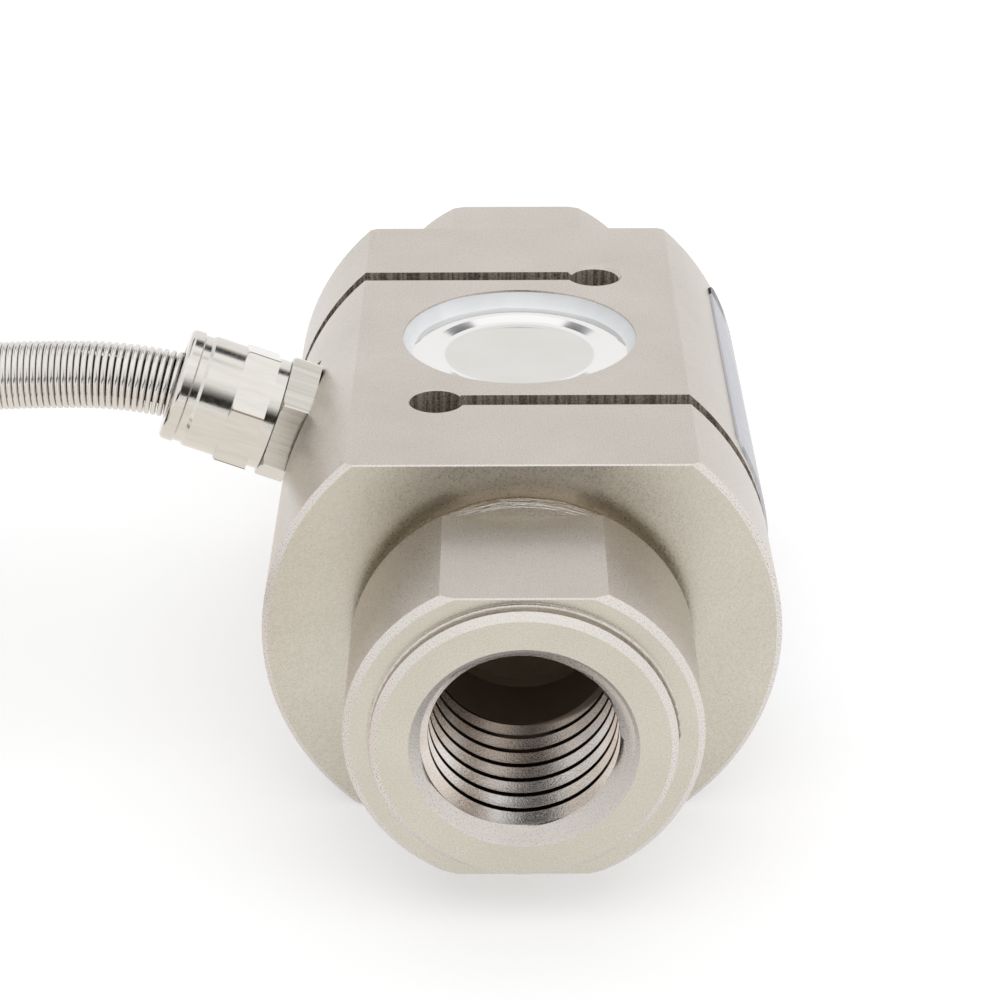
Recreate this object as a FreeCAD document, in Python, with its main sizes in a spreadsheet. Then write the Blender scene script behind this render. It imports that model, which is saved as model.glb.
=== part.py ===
import FreeCAD, Part
import math
import os
import Sketcher

Vector = FreeCAD.Vector

# S type load cell. Its frame: origin at the centre of the lower flat, +Z up, the loading axis along Y.
# Every piece is drawn about the loading axis and lifted by half the width across the flats.

document = FreeCAD.newDocument("s_type_load_cell")
sheet = document.addObject("Spreadsheet::Sheet", "dim")

SIZES = [
    # spring element: the bar, its turned ends and its edges
    ("body_diameter", 60.0), ("across_flats", 45.0), ("body_length", 72.6), ("edge_chamfer", 0.7),
    ("flat_break", 0.15), ("neck_diameter", 37.0), ("neck_length", 2.55),
    ("boss_diameter", 39.3), ("boss_flats", 35.0), ("boss_length", 18.95), ("boss_chamfer", 0.8),
    ("collar_diameter", 33.3), ("collar_length", 2.0), ("collar_chamfer", 0.8), ("collar_fillet", 0.4),
    # threaded ends, M24 x 3: the wall stands at the major diameter
    ("thread_diameter", 24.0), ("thread_mouth", 24.9), ("thread_depth", 22.2),
    ("drill_diameter", 20.8), ("drill_depth", 31.05), ("drill_corner", 0.75),
    # the two slots that make the S, each ending in a round hole
    ("slot_width", 2.7), ("slot_offset", 19.1), ("end_hole_diameter", 6.3), ("end_hole_x", 9.9),
    ("end_hole_offset", 19.3), ("end_hole_break", 0.15), ("rear_hole_sink", 0.45),
    # gauge cavities either side of the shear web, and the seats of their covers
    ("web_thickness", 4.0), ("seat_diameter", 28.8), ("seat_depth", 2.35), ("seat_ledge", 1.8),
    ("cup_sheet", 0.4), ("cup_clearance", 0.1), ("cup_rim_width", 2.4), ("cup_bend_width", 2.7),
    ("cup_floor_drop", 0.65), ("cup_bend", 6.0), ("sealant_width", 1.05), ("sealant_top_gap", 0.15),
    # nameplate wrapped on the side opposite the gland
    ("plate_angle", 60.0), ("plate_front", 15.0), ("plate_rear", 35.0), ("plate_thickness", 0.3),
    ("plate_corner", 2.5),
    # cable gland: distances run outward from the round side of the body along the gland's axis
    ("gland_elevation", 20.7), ("spot_depth", 0.78), ("spot_clearance", 1.2), ("break_through", 0.3),
    ("gland_thread", 10.0), ("tapped_depth", 10.0), ("passage_diameter", 4.0), ("gland_hex", 14.2),
    ("body_hex_end", 2.87), ("body_hex_turn", 6.1), ("thread_clearance", 0.05),
    ("spigot_length", 9.0), ("nose_end", 6.4), ("gland_bore", 5.2), ("hex_bevel", 0.5),
    ("ring_section", 1.0), ("ring_clearance", 0.05),
    ("nut_start", 3.02), ("nut_neck", 14.1), ("nut_hex_start", 4.45), ("nut_hex_end", 8.66),
    ("nut_hex_turn", 48.5), ("ferrule_diameter", 14.3), ("ferrule_lip", 12.6), ("ferrule_groove", 13.7),
    ("groove_start", 13.0), ("groove_end", 13.9), ("bead_diameter", 14.2), ("bead_start", 14.1),
    ("nut_end", 15.8), ("bead_round", 0.7), ("bush_diameter", 9.7), ("washer_thickness", 0.6),
    ("washer_end", 9.8), ("seat_clearance", 0.1), ("mouth_flare", 0.6),
    # sprung hose and cable
    ("hose_diameter", 8.4), ("hose_wire", 0.75), ("sleeve_wall", 0.7), ("sleeve_length", 11.0),
    ("sleeve_overhang", 2.5), ("sleeve_edge", 0.3), ("sleeve_nose", 0.8), ("crimp_depth", 0.35),
    ("crimp_start", 3.0), ("crimp_slope", 0.4), ("crimp_length", 1.8),
    ("cable_diameter", 5.0), ("cable_clearance", 0.1),
    ("coil_radius", 29.0), ("coil_section", 20.0), ("coil_x", -144.0), ("coil_y", 20.5),
    ("tie_thickness", 1.0), ("tie_width", 3.6), ("tie_clearance", 0.15), ("tie_head_width", 4.6),
    ("tie_head_length", 5.5), ("tie_head_height", 3.7), ("shrink_wall", 0.5), ("shrink_length", 12.0),
    ("shrink_overhang", 4.0), ("shrink_edge", 0.8), ("shrink_lip", 0.3),
    ("core_diameter", 1.2), ("drain_diameter", 0.96), ("lead_lift", 0.1),
    # what the upper and lower cavities hold
    ("gauge_length", 6.4), ("gauge_width", 4.2), ("gauge_film", 0.08), ("gauge_offset", 3.9),
    ("grid_length", 3.2), ("grid_width", 2.6), ("grid_start", 2.5), ("tab_start", 0.3),
    ("tab_length", 1.6), ("tab_width", 1.2), ("tab_gap", 0.6), ("board_gauge_gap", 1.65),
    ("board_wall_gap", 1.6), ("board_width", 10.0), ("board_thickness", 1.0),
    ("chip_length", 1.6), ("chip_width", 2.6), ("chip_height", 0.6), ("chip_margin", 0.5),
    ("chip_pitch", 3.1), ("core_bend_gap", 1.6), ("core_landing", 0.4), ("core_lift", 0.02),
    # how far a cutting outline runs on past the metal
    ("overshoot", 1.0),
]

for row, (alias, number) in enumerate(SIZES, start=1):
    sheet.set("A%d" % row, alias)
    sheet.set("B%d" % row, repr(number))
    sheet.setAlias("B%d" % row, alias)
document.recompute()


def size(alias):
    """A size of the sheet as a plain number, for what is built point by point."""
    return float(getattr(sheet, alias))


# Lengths that several pieces share, written once in the sheet's terms.
AXIS_HEIGHT = "dim.across_flats / 2"
BODY_END = "dim.body_length / 2"
BOSS_START = BODY_END + " + dim.neck_length"
BOSS_END = BOSS_START + " + dim.boss_length"
FACE = BOSS_END + " + dim.collar_length"
BODY_RADIUS = "dim.body_diameter / 2"
SPIGOT_RADIUS = "(dim.gland_thread / 2 - dim.thread_clearance)"
RIM_TOP = AXIS_HEIGHT + " - dim.seat_depth + dim.cup_sheet"
SEAT_RADIUS = "dim.seat_diameter / 2"
CAVITY_RADIUS = "(" + SEAT_RADIUS + " - dim.seat_ledge)"
SPOT_RADIUS = "(dim.gland_hex / cos(30) + dim.spot_clearance) / 2"
GAUGE_REACH = "(dim.gauge_length + dim.gauge_width) / 2 * cos(45)"
BOARD_START = "(" + GAUGE_REACH + " + dim.board_gauge_gap)"
BOARD_END = "(" + CAVITY_RADIUS + " - dim.board_wall_gap)"
CHIP_START = "(" + BOARD_END + " - dim.chip_margin - dim.chip_length)"

pieces = []


# --- Drawing aids -------------------------------------------------------------------------------

def new_body(name):
    """A body about the loading axis, lifted so that the lower flat lies at height zero."""
    body = document.addObject("PartDesign::Body", name)
    body.Label = name
    body.setExpression("Placement.Base.z", AXIS_HEIGHT)
    pieces.append(body)
    return body


def gland_piece(name):
    """A body whose Z axis is the gland's, starting where that axis leaves the round side."""
    body = new_body(name)
    body.Placement.Rotation = FreeCAD.Rotation(Vector(0, -1, 0), 1)
    body.setExpression("Placement.Rotation.Angle", "90 - dim.gland_elevation")
    body.setExpression("Placement.Base.x", "-dim.body_diameter / 2 * cos(dim.gland_elevation)")
    body.setExpression("Placement.Base.z",
                       AXIS_HEIGHT + " + dim.body_diameter / 2 * sin(dim.gland_elevation)")
    return body


def new_sketch(body, role, name, height=None):
    """A sketch on one of the body's own origin planes, raised along its normal if a height is given."""
    sketch = body.newObject("Sketcher::SketchObject", name)
    plane = next(item for item in body.Origin.OriginFeatures if item.Role == role)
    sketch.AttachmentSupport = [(plane, "")]
    sketch.MapMode = "FlatFace"
    if height:
        sketch.setExpression("AttachmentOffset.Base.z", height)
    return sketch


def value_of(expression):
    """What an expression in the sheet's sizes comes to, so that a sketch is first drawn in place."""
    return float(sheet.evalExpression(expression))


def bind_point(sketch, geometry, point, across, up):
    """Hold a point of the sketch at two expressions from the origin."""
    for kind, expression in (("DistanceX", across), ("DistanceY", up)):
        held = Sketcher.Constraint(kind, -1, 1, geometry, point, value_of(expression))
        number = sketch.addConstraint(held)
        sketch.setExpression("Constraints[%d]" % number, expression)


def add_outline(sketch, corners):
    """Draw a closed outline whose corners are pairs of expressions in the sheet's sizes."""
    first = sketch.GeometryCount
    count = len(corners)
    spots = [Vector(value_of(across), value_of(up), 0) for across, up in corners]
    for index in range(count):
        sketch.addGeometry(Part.LineSegment(spots[index], spots[(index + 1) % count]), False)
    for index, (across, up) in enumerate(corners):
        following = first + (index + 1) % count
        sketch.addConstraint(Sketcher.Constraint("Coincident", first + index, 2, following, 1))
        bind_point(sketch, first + index, 1, across, up)


def add_circle(sketch, across, up, diameter):
    """Draw a circle from expressions for its centre and diameter."""
    centre = Vector(value_of(across), value_of(up), 0)
    radius = value_of(diameter) / 2
    circle = sketch.addGeometry(Part.Circle(centre, Vector(0, 0, 1), radius), False)
    bind_point(sketch, circle, 3, across, up)
    number = sketch.addConstraint(Sketcher.Constraint("Diameter", circle, 2 * radius))
    sketch.setExpression("Constraints[%d]" % number, diameter)


def box_corners(left, right, low, high):
    """The four corners of an upright rectangle."""
    return [(left, low), (right, low), (right, high), (left, high)]


def turn(body, name, corners, cut=False, plane="XZ_Plane", axis="V_Axis"):
    """Turn one outline about a sketch axis, as a Revolution or, for a cut, a Groove."""
    sketch = new_sketch(body, plane, name + "_outline")
    add_outline(sketch, corners)
    feature = body.newObject("PartDesign::Groove" if cut else "PartDesign::Revolution", name)
    feature.Profile = sketch
    feature.ReferenceAxis = (sketch, [axis])
    feature.Angle = 360
    return feature


def pad(body, name, sketch, length):
    """Raise a sketch by a length given as an expression."""
    feature = body.newObject("PartDesign::Pad", name)
    feature.Profile = sketch
    feature.setExpression("Length", length)
    return feature


def cut_through(body, name, sketch):
    """Cut a sketch out of the whole body, both ways from its plane."""
    feature = body.newObject("PartDesign::Pocket", name)
    feature.Profile = sketch
    feature.Type = "ThroughAll"
    feature.SideType = "Symmetric"
    return feature


def mirror(body, name, feature, role):
    """Repeat a feature on the other side of an origin plane."""
    copy = body.newObject("PartDesign::Mirrored", name)
    copy.Originals = [feature]
    copy.MirrorPlane = (next(item for item in body.Origin.OriginFeatures if item.Role == role), [""])
    body.Tip = copy
    return copy


def edges_where(feature, test):
    """Names of the edges of a recomputed feature that pass a test."""
    return ["Edge%d" % number for number, edge in enumerate(feature.Shape.Edges, start=1) if test(edge)]


def is_ring(edge, radius, along, place):
    """Whether an edge is a circle of this radius whose centre lies at a place along an axis."""
    curve = edge.Curve
    if not isinstance(curve, Part.Circle):
        return False
    return abs(curve.Radius - radius) < 1e-4 and abs(getattr(curve.Center, along) - place) < 1e-4


def is_level_edge(edge, spots):
    """Whether an edge is straight along X at one of these heights and distances from the middle."""
    if not isinstance(edge.Curve, Part.Line):
        return False
    first, last = (vertex.Point for vertex in edge.Vertexes)
    if abs(first.y - last.y) > 1e-4 or abs(first.z - last.z) > 1e-4:
        return False
    return any(abs(abs(first.z) - height) < 1e-4 and abs(abs(first.y) - away) < 1e-4
               for height, away in spots)


def dress(body, name, kind, test, **sizes):
    """Fillet or chamfer the edges of the body's last feature that pass a test."""
    document.recompute()
    base = body.Tip
    names = edges_where(base, test)
    if not names:
        raise RuntimeError("no edges for " + name)
    feature = body.newObject("PartDesign::" + kind, name)
    feature.Base = (base, names)
    for prop, expression in sizes.items():
        feature.setExpression(prop, expression)
    return feature


def hexagon(width, turned):
    """Corners of a hexagon of a width across flats, its first corner turned from the X axis."""
    reach = width + " / sqrt(3)"
    return [("%s * cos(%s + %d)" % (reach, turned, step), "%s * sin(%s + %d)" % (reach, turned, step))
            for step in range(0, 360, 60)]


def bevel_hexagon(body, name, face, inward):
    """Turn a 30 degree bevel on the corners of a hexagon's face; inward is the metal's side along Z."""
    corner = "dim.gland_hex / sqrt(3)"
    start = corner + " - dim.hex_bevel"
    slope = "%s %s dim.hex_bevel * tan(30)" % (face, inward)
    outside = corner + " + dim.overshoot"
    return turn(body, name, [(start, face), (outside, face), (outside, slope), (corner, slope)], cut=True)


# --- Spring element ------------------------------------------------------------------------------

def spring_element():
    """The one-piece S: a turned bar with flats, threaded ends, two slots, a web and the gland's hole."""
    body = new_body("spring_element")

    # half outline from the middle to the face, then the same half reversed for the other end
    half = [
        (BODY_END + " - dim.edge_chamfer", BODY_RADIUS),
        (BODY_END, BODY_RADIUS + " - dim.edge_chamfer"),
        (BODY_END, "dim.neck_diameter / 2"),
        (BOSS_START, "dim.neck_diameter / 2"),
        (BOSS_START, "dim.boss_diameter / 2"),
        (BOSS_END + " - dim.boss_chamfer", "dim.boss_diameter / 2"),
        (BOSS_END, "dim.boss_diameter / 2 - dim.boss_chamfer"),
        (BOSS_END, "dim.collar_diameter / 2"),
        (FACE + " - dim.collar_chamfer", "dim.collar_diameter / 2"),
        (FACE, "dim.collar_diameter / 2 - dim.collar_chamfer"),
        (FACE, "0"),
    ]
    other = [("-(%s)" % along, radius) for along, radius in reversed(half)]
    turn(body, "bar", half + other, plane="YZ_Plane", axis="H_Axis")

    # collar roots are filleted before the flats are milled
    root = size("body_length") / 2 + size("neck_length") + size("boss_length")
    dress(body, "collar_roots", "Fillet",
          lambda edge: is_ring(edge, size("collar_diameter") / 2, "y", root)
          or is_ring(edge, size("collar_diameter") / 2, "y", -root),
          Radius="dim.collar_fillet")

    # flats above and below: one pair along the body, one pair on each boss
    flats = new_sketch(body, "YZ_Plane", "flats_outline")
    for side in ("", "-"):
        outside = side + "(%s + dim.overshoot)" % BODY_RADIUS
        add_outline(flats, box_corners("-(%s)" % BODY_END, BODY_END,
                                       side + "dim.across_flats / 2", outside))
        for end in ("", "-"):
            add_outline(flats, box_corners("%s(%s)" % (end, BOSS_START),
                                           "%s(%s + dim.overshoot)" % (end, FACE),
                                           side + "dim.boss_flats / 2", outside))
    cut_through(body, "flats", flats)

    # the milled edges across both ends of each flat are broken
    flat_ends = {(size("across_flats") / 2, size("body_length") / 2), (size("boss_flats") / 2, root)}
    dress(body, "flat_breaks", "Chamfer", lambda edge: is_level_edge(edge, flat_ends),
          Size="dim.flat_break")

    # threaded blind bores with a countersunk mouth, and a plain bottom of drill size
    bore = turn(body, "rear_bore", [
        (FACE, "0"),
        (FACE, "dim.thread_mouth / 2"),
        (FACE + " - (dim.thread_mouth - dim.thread_diameter) / 2", "dim.thread_diameter / 2"),
        (FACE + " - dim.thread_depth", "dim.thread_diameter / 2"),
        (FACE + " - dim.thread_depth", "dim.drill_diameter / 2"),
        (FACE + " - dim.drill_depth + dim.drill_corner", "dim.drill_diameter / 2"),
        (FACE + " - dim.drill_depth", "dim.drill_diameter / 2 - dim.drill_corner"),
        (FACE + " - dim.drill_depth", "0"),
    ], cut=True, plane="YZ_Plane", axis="H_Axis")
    mirror(body, "front_bore", bore, "XZ_Plane")

    # wire-cut slots: the front one opens toward +X and the rear one toward -X
    slots = new_sketch(body, "XY_Plane", "slots_outline")
    holes = new_sketch(body, "XY_Plane", "end_holes_outline")
    for side in ("-", ""):
        away = "" if side == "-" else "-"
        middle = side + "dim.slot_offset"
        closed_end = "%s(-dim.end_hole_x)" % away
        open_end = "%s(%s + dim.overshoot)" % (away, BODY_RADIUS)
        add_outline(slots, box_corners(closed_end, open_end,
                                       middle + " - dim.slot_width / 2", middle + " + dim.slot_width / 2"))
        add_circle(holes, closed_end, side + "dim.end_hole_offset", "dim.end_hole_diameter")
    cut_through(body, "slots", slots)
    cut_through(body, "end_holes", holes)

    # gauge cavities above and below the web, stepped for their covers
    cavity = turn(body, "upper_cavity", [
        ("0", "dim.web_thickness / 2"),
        (CAVITY_RADIUS, "dim.web_thickness / 2"),
        (CAVITY_RADIUS, AXIS_HEIGHT + " - dim.seat_depth"),
        (SEAT_RADIUS, AXIS_HEIGHT + " - dim.seat_depth"),
        (SEAT_RADIUS, AXIS_HEIGHT + " + dim.overshoot"),
        ("0", AXIS_HEIGHT + " + dim.overshoot"),
    ], cut=True)
    mirror(body, "lower_cavity", cavity, "XY_Plane")

    # spot face, tapped hole and wire passage on the gland's axis
    hole = new_sketch(body, "XZ_Plane", "gland_hole_outline")
    hole.AttachmentOffset = FreeCAD.Placement(Vector(), FreeCAD.Rotation(Vector(0, 0, 1), 1))
    hole.setExpression("AttachmentOffset.Rotation.Angle", "180 - dim.gland_elevation")
    spot = BODY_RADIUS + " - dim.spot_depth"
    breakthrough = (CAVITY_RADIUS + " / cos(dim.gland_elevation)"
                    " - dim.passage_diameter / 2 * tan(dim.gland_elevation) - dim.break_through")
    add_outline(hole, [
        (BODY_RADIUS + " + dim.overshoot", "0"),
        (BODY_RADIUS + " + dim.overshoot", SPOT_RADIUS),
        (spot, SPOT_RADIUS),
        (spot, "dim.gland_thread / 2"),
        (spot + " - dim.tapped_depth", "dim.gland_thread / 2"),
        (spot + " - dim.tapped_depth", "dim.passage_diameter / 2"),
        (breakthrough, "dim.passage_diameter / 2"),
        (breakthrough, "0"),
    ])
    groove = body.newObject("PartDesign::Groove", "gland_hole")
    groove.Profile = hole
    groove.ReferenceAxis = (hole, ["H_Axis"])
    groove.Angle = 360

    # the rear end hole is countersunk on top, the front one only broken
    flat = size("across_flats") / 2
    radius = size("end_hole_diameter") / 2
    for name, side, depth in (("rear_hole_sink", 1, "dim.rear_hole_sink"),
                              ("front_hole_break", -1, "dim.end_hole_break")):
        place = side * size("end_hole_offset")
        dress(body, name, "Chamfer",
              lambda edge: is_ring(edge, radius, "z", flat) and abs(edge.Curve.Center.y - place) < 1e-4,
              Size=depth)
    return body


# --- Covers of the gauge cavities -----------------------------------------------------------------

def turned_over(body, lower):
    """Turn a piece of the upper seat over for the lower one."""
    if lower:
        body.Placement.Rotation = FreeCAD.Rotation(Vector(1, 0, 0), 180)


def sealing_cup(name, lower=False):
    """Pressed sheet cup: a flat rim on the seat, an S bend and a sunk floor."""
    body = new_body(name)
    turned_over(body, lower)
    rim = SEAT_RADIUS + " - dim.cup_clearance"
    rim_inner = rim + " - dim.cup_rim_width"
    floor_edge = rim_inner + " - dim.cup_bend_width"
    floor = RIM_TOP + " - dim.cup_floor_drop"
    top = [(rim, RIM_TOP), (rim_inner, RIM_TOP), (floor_edge, floor), ("0", floor)]
    under = [(across, up + " - dim.cup_sheet") for across, up in reversed(top)]
    turn(body, name + "_sheet", top + under)
    bends = (value_of(rim_inner), value_of(floor_edge))
    dress(body, name + "_bends", "Fillet",
          lambda edge: isinstance(edge.Curve, Part.Circle)
          and any(abs(edge.Curve.Radius - bend) < 1e-4 for bend in bends),
          Radius="dim.cup_bend")
    return body


def sealant(name, lower=False):
    """Ring of sealant run round the cup's rim and smoothed to a slope."""
    body = new_body(name)
    turned_over(body, lower)
    turn(body, name + "_ring", [(SEAT_RADIUS, RIM_TOP),
                                (SEAT_RADIUS, AXIS_HEIGHT + " - dim.sealant_top_gap"),
                                (SEAT_RADIUS + " - dim.sealant_width", RIM_TOP)])
    return body


def nameplate():
    """Thin plate rolled to the round side of the body, with rounded corners."""
    body = new_body("nameplate")
    sketch = new_sketch(body, "XY_Plane", "plate_outline")
    add_outline(sketch, box_corners(BODY_RADIUS, BODY_RADIUS + " + dim.plate_thickness",
                                    "-dim.plate_front", "dim.plate_rear"))
    sheet_metal = body.newObject("PartDesign::Revolution", "plate")
    sheet_metal.Profile = sketch
    sheet_metal.ReferenceAxis = (sketch, ["V_Axis"])
    sheet_metal.Midplane = True
    sheet_metal.setExpression("Angle", "dim.plate_angle")
    thickness = size("plate_thickness")
    dress(body, "plate_corners", "Fillet",
          lambda edge: isinstance(edge.Curve, Part.Line) and abs(edge.Length - thickness) < 1e-4,
          Radius="dim.plate_corner")
    return body


# --- Cable gland -----------------------------------------------------------------------------------

def hex_block(body, name, start, end, turned):
    """A hexagonal block between two places on the gland's axis."""
    sketch = new_sketch(body, "XY_Plane", name + "_outline", height=start)
    add_outline(sketch, hexagon("dim.gland_hex", turned))
    pad(body, name, sketch, "%s - (%s)" % (end, start))


def gland_body():
    """Gland body: spigot, hexagon on the spot face, threaded nose, bore and ring groove."""
    body = gland_piece("gland_body")
    hex_block(body, "body_hexagon", "-dim.spot_depth", "dim.body_hex_end", "dim.body_hex_turn")
    turn(body, "stem", box_corners("0", SPIGOT_RADIUS,
                                   "-dim.spot_depth - dim.spigot_length", "dim.nose_end"))
    bore = new_sketch(body, "XY_Plane", "gland_bore_outline")
    add_circle(bore, "0", "0", "dim.gland_bore")
    cut_through(body, "gland_bore", bore)
    turn(body, "ring_groove", box_corners(
        SPIGOT_RADIUS, SPIGOT_RADIUS + " + dim.ring_section + 2 * dim.ring_clearance",
        "-dim.spot_depth", "-dim.spot_depth + dim.ring_section + dim.ring_clearance"), cut=True)
    bevel_hexagon(body, "body_hexagon_bevel", "dim.body_hex_end", "-")
    return body


def gland_seal_ring():
    """Rubber ring between the gland body and the spot face."""
    body = gland_piece("gland_seal_ring")
    sketch = new_sketch(body, "XZ_Plane", "ring_outline")
    add_circle(sketch, SPIGOT_RADIUS + " + dim.ring_clearance + dim.ring_section / 2",
               "-dim.spot_depth + dim.ring_section / 2", "dim.ring_section")
    ring = body.newObject("PartDesign::Revolution", "ring")
    ring.Profile = sketch
    ring.ReferenceAxis = (sketch, ["V_Axis"])
    ring.Angle = 360
    return body


def gland_nut():
    """Nut with a long ferrule: threaded socket, seat of the bush, socket of the hose and a flared mouth."""
    body = gland_piece("gland_nut")
    hex_block(body, "nut_hexagon", "dim.nut_hex_start", "dim.nut_hex_end", "dim.nut_hex_turn")
    turn(body, "ferrule", [
        ("0", "dim.nut_start"),
        ("dim.nut_neck / 2", "dim.nut_start"),
        ("dim.nut_neck / 2", "dim.nut_hex_end"),
        ("dim.ferrule_diameter / 2", "dim.nut_hex_end"),
        ("dim.ferrule_diameter / 2", "dim.ferrule_lip"),
        ("dim.ferrule_groove / 2", "dim.groove_start"),
        ("dim.ferrule_groove / 2", "dim.groove_end"),
        ("dim.bead_diameter / 2", "dim.bead_start"),
        ("dim.bead_diameter / 2", "dim.nut_end"),
        ("0", "dim.nut_end"),
    ])
    socket = "dim.gland_thread / 2"
    seat = "dim.bush_diameter / 2 + dim.seat_clearance / 2"
    hose = "dim.hose_diameter / 2 + dim.seat_clearance"
    turn(body, "nut_inside", [
        ("0", "dim.nut_start"),
        (socket, "dim.nut_start"),
        (socket, "dim.nose_end + dim.seat_clearance"),
        (seat, "dim.nose_end + dim.seat_clearance"),
        (seat, "dim.washer_end"),
        (hose, "dim.washer_end"),
        (hose, "dim.nut_end - dim.mouth_flare"),
        (hose + " + dim.mouth_flare", "dim.nut_end"),
        ("0", "dim.nut_end"),
    ], cut=True)
    bevel_hexagon(body, "nut_hexagon_bevel", "dim.nut_hex_end", "-")
    dress(body, "bead_round", "Fillet",
          lambda edge: is_ring(edge, size("bead_diameter") / 2, "z", size("nut_end")),
          Radius="dim.bead_round")
    return body


def gland_bush():
    """Rubber bush that grips the cable when the nut is tightened."""
    body = gland_piece("gland_bush")
    turn(body, "bush", box_corners("dim.cable_diameter / 2", "dim.bush_diameter / 2",
                                   "dim.nose_end", "dim.washer_end - dim.washer_thickness"))
    return body


def gland_washer():
    """Metal washer between the bush and the end of the sprung hose."""
    body = gland_piece("gland_washer")
    turn(body, "washer", box_corners("dim.cable_diameter / 2 + dim.cable_clearance", "dim.bush_diameter / 2",
                                     "dim.washer_end - dim.washer_thickness", "dim.washer_end"))
    return body


# --- Sprung hose and cable: routes are straight runs joined by tangent arcs ------------------------

def on_gland_axis(distance):
    """A point on the gland's axis, a distance outside the round side of the body."""
    reach = size("body_diameter") / 2 + distance
    angle = math.radians(size("gland_elevation"))
    return Vector(-reach * math.cos(angle), 0, size("across_flats") / 2 + reach * math.sin(angle))


def path_of(points, name):
    """Join straight runs by arcs, each as large as 0.45 of the shorter run beside it allows."""
    edges = []
    radii = []
    start = points[0]
    for before, corner, after in zip(points, points[1:], points[2:]):
        into = (corner - before).normalize()
        out = (after - corner).normalize()
        half_turn = into.getAngle(out) / 2
        trim = 0.45 * min((corner - before).Length, (after - corner).Length)
        radius = trim / math.tan(half_turn)
        centre = corner + (out - into).normalize() * (radius / math.cos(half_turn))
        middle = centre + (corner - centre).normalize() * radius
        leave = corner + out * trim
        edges.append(Part.LineSegment(start, corner - into * trim).toShape())
        edges.append(Part.Arc(corner - into * trim, middle, leave).toShape())
        radii.append(round(radius, 1))
        start = leave
    edges.append(Part.LineSegment(start, points[-1]).toShape())
    wire = Part.Wire(edges)
    print("%s: length %.1f mm, arc radii %s" % (name, wire.Length, radii))
    return wire


def tube_along(wire, radius):
    """A round solid swept along a wire."""
    start = wire.Vertexes[0].Point
    ahead = wire.Edges[0].tangentAt(wire.Edges[0].FirstParameter)
    ring = Part.Wire([Part.Circle(start, ahead, radius).toShape()])
    return wire.makePipeShell([ring], True, False)


def swept(name, points, radius, inner=0.0):
    """A tube along a route, its volume compared with its section times its length."""
    wire = path_of(points, name)
    shape = tube_along(wire, radius)
    if inner:
        shape = shape.cut(tube_along(wire, inner))
    expected = math.pi * (radius ** 2 - inner ** 2) * wire.Length
    if abs(shape.Volume / expected - 1) > 0.01:
        raise RuntimeError("%s: volume %.1f, expected %.1f" % (name, shape.Volume, expected))
    piece = document.addObject("Part::Feature", name)
    piece.Label = name
    piece.Shape = shape
    pieces.append(piece)
    return piece


# The hose leaves along the gland's axis, bends level, then sinks to the ground in front of the coil.
HOSE_POINTS = [
    on_gland_axis(size("washer_end")),
    on_gland_axis(18.8),
    Vector(-63.2, -0.2, 39.8),
    Vector(-87.0, -1.8, 38.6),
    Vector(-110.0, -11.0, 29.0),
    Vector(-126.0, -21.0, 16.0),
    Vector(-141.0, -28.5, 8.2),
    Vector(-158.0, -34.5, 5.5),
]
# The cable starts inside the gland, runs through the hose and round to the outside of the coil.
CABLE_POINTS = [on_gland_axis(size("nut_hex_start"))] + HOSE_POINTS[1:-1] + [
    Vector(-170.0, -38.74, 3.59),
    Vector(-188.3, -36.2, 2.6),
    Vector(-201.6, -23.3, 2.6),
    Vector(-205.2, -4.7, 2.6),
    Vector(-198.7, 21.5, 2.6),
    Vector(-184.4, 44.4, 2.6),
    Vector(-165.6, 56.0, 2.6),
]
# The last turn leaves the coil at the top, on the side of the load cell, and runs out to its leads.
TAIL_POINTS = [
    Vector(-102.9, 14.4, 16.0),
    Vector(-98.0, 0.0, 12.8),
    Vector(-96.5, -16.0, 7.2),
    Vector(-100.0, -30.0, 3.6),
    Vector(-110.5, -42.5, 2.8),
    Vector(-125.0, -47.4, 3.0),
    Vector(-139.5, -48.7, 3.1),
]
# Leads: name, place in the bundle (across, up) and sideways spread at the free end.
LEADS = [
    ("lead_red", -0.75, 0.75, -6.5),
    ("lead_black", -0.75, -0.75, -2.6),
    ("lead_green", 0.75, -0.75, 2.6),
    ("lead_white", 0.75, 0.75, 6.5),
    ("lead_shield", 0.0, 1.95, 0.4),
]
# Each lead's points: distance past the jacket's end and share of the spread reached there.
LEAD_RUN = [(0.0, 0.0), (6.0, 0.0), (12.0, 0.2), (21.0, 0.5), (33.0, 1.0)]
# Cores inside the gland: name, place in the bundle (across, up) and landing on the board (across).
CORES = [
    ("core_red", 0.75, 0.75, 3.9),
    ("core_black", 0.75, -0.75, 1.2),
    ("core_green", -0.75, -0.75, -1.2),
    ("core_white", -0.75, 0.75, -3.9),
]


def piece_on_end(name, points):
    """A body whose Z axis continues the last run of a route, starting at the route's end."""
    body = document.addObject("PartDesign::Body", name)
    body.Label = name
    ahead = points[-1] - points[-2]
    body.Placement = FreeCAD.Placement(points[-1], FreeCAD.Rotation(Vector(0, 0, 1), ahead))
    pieces.append(body)
    return body


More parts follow.
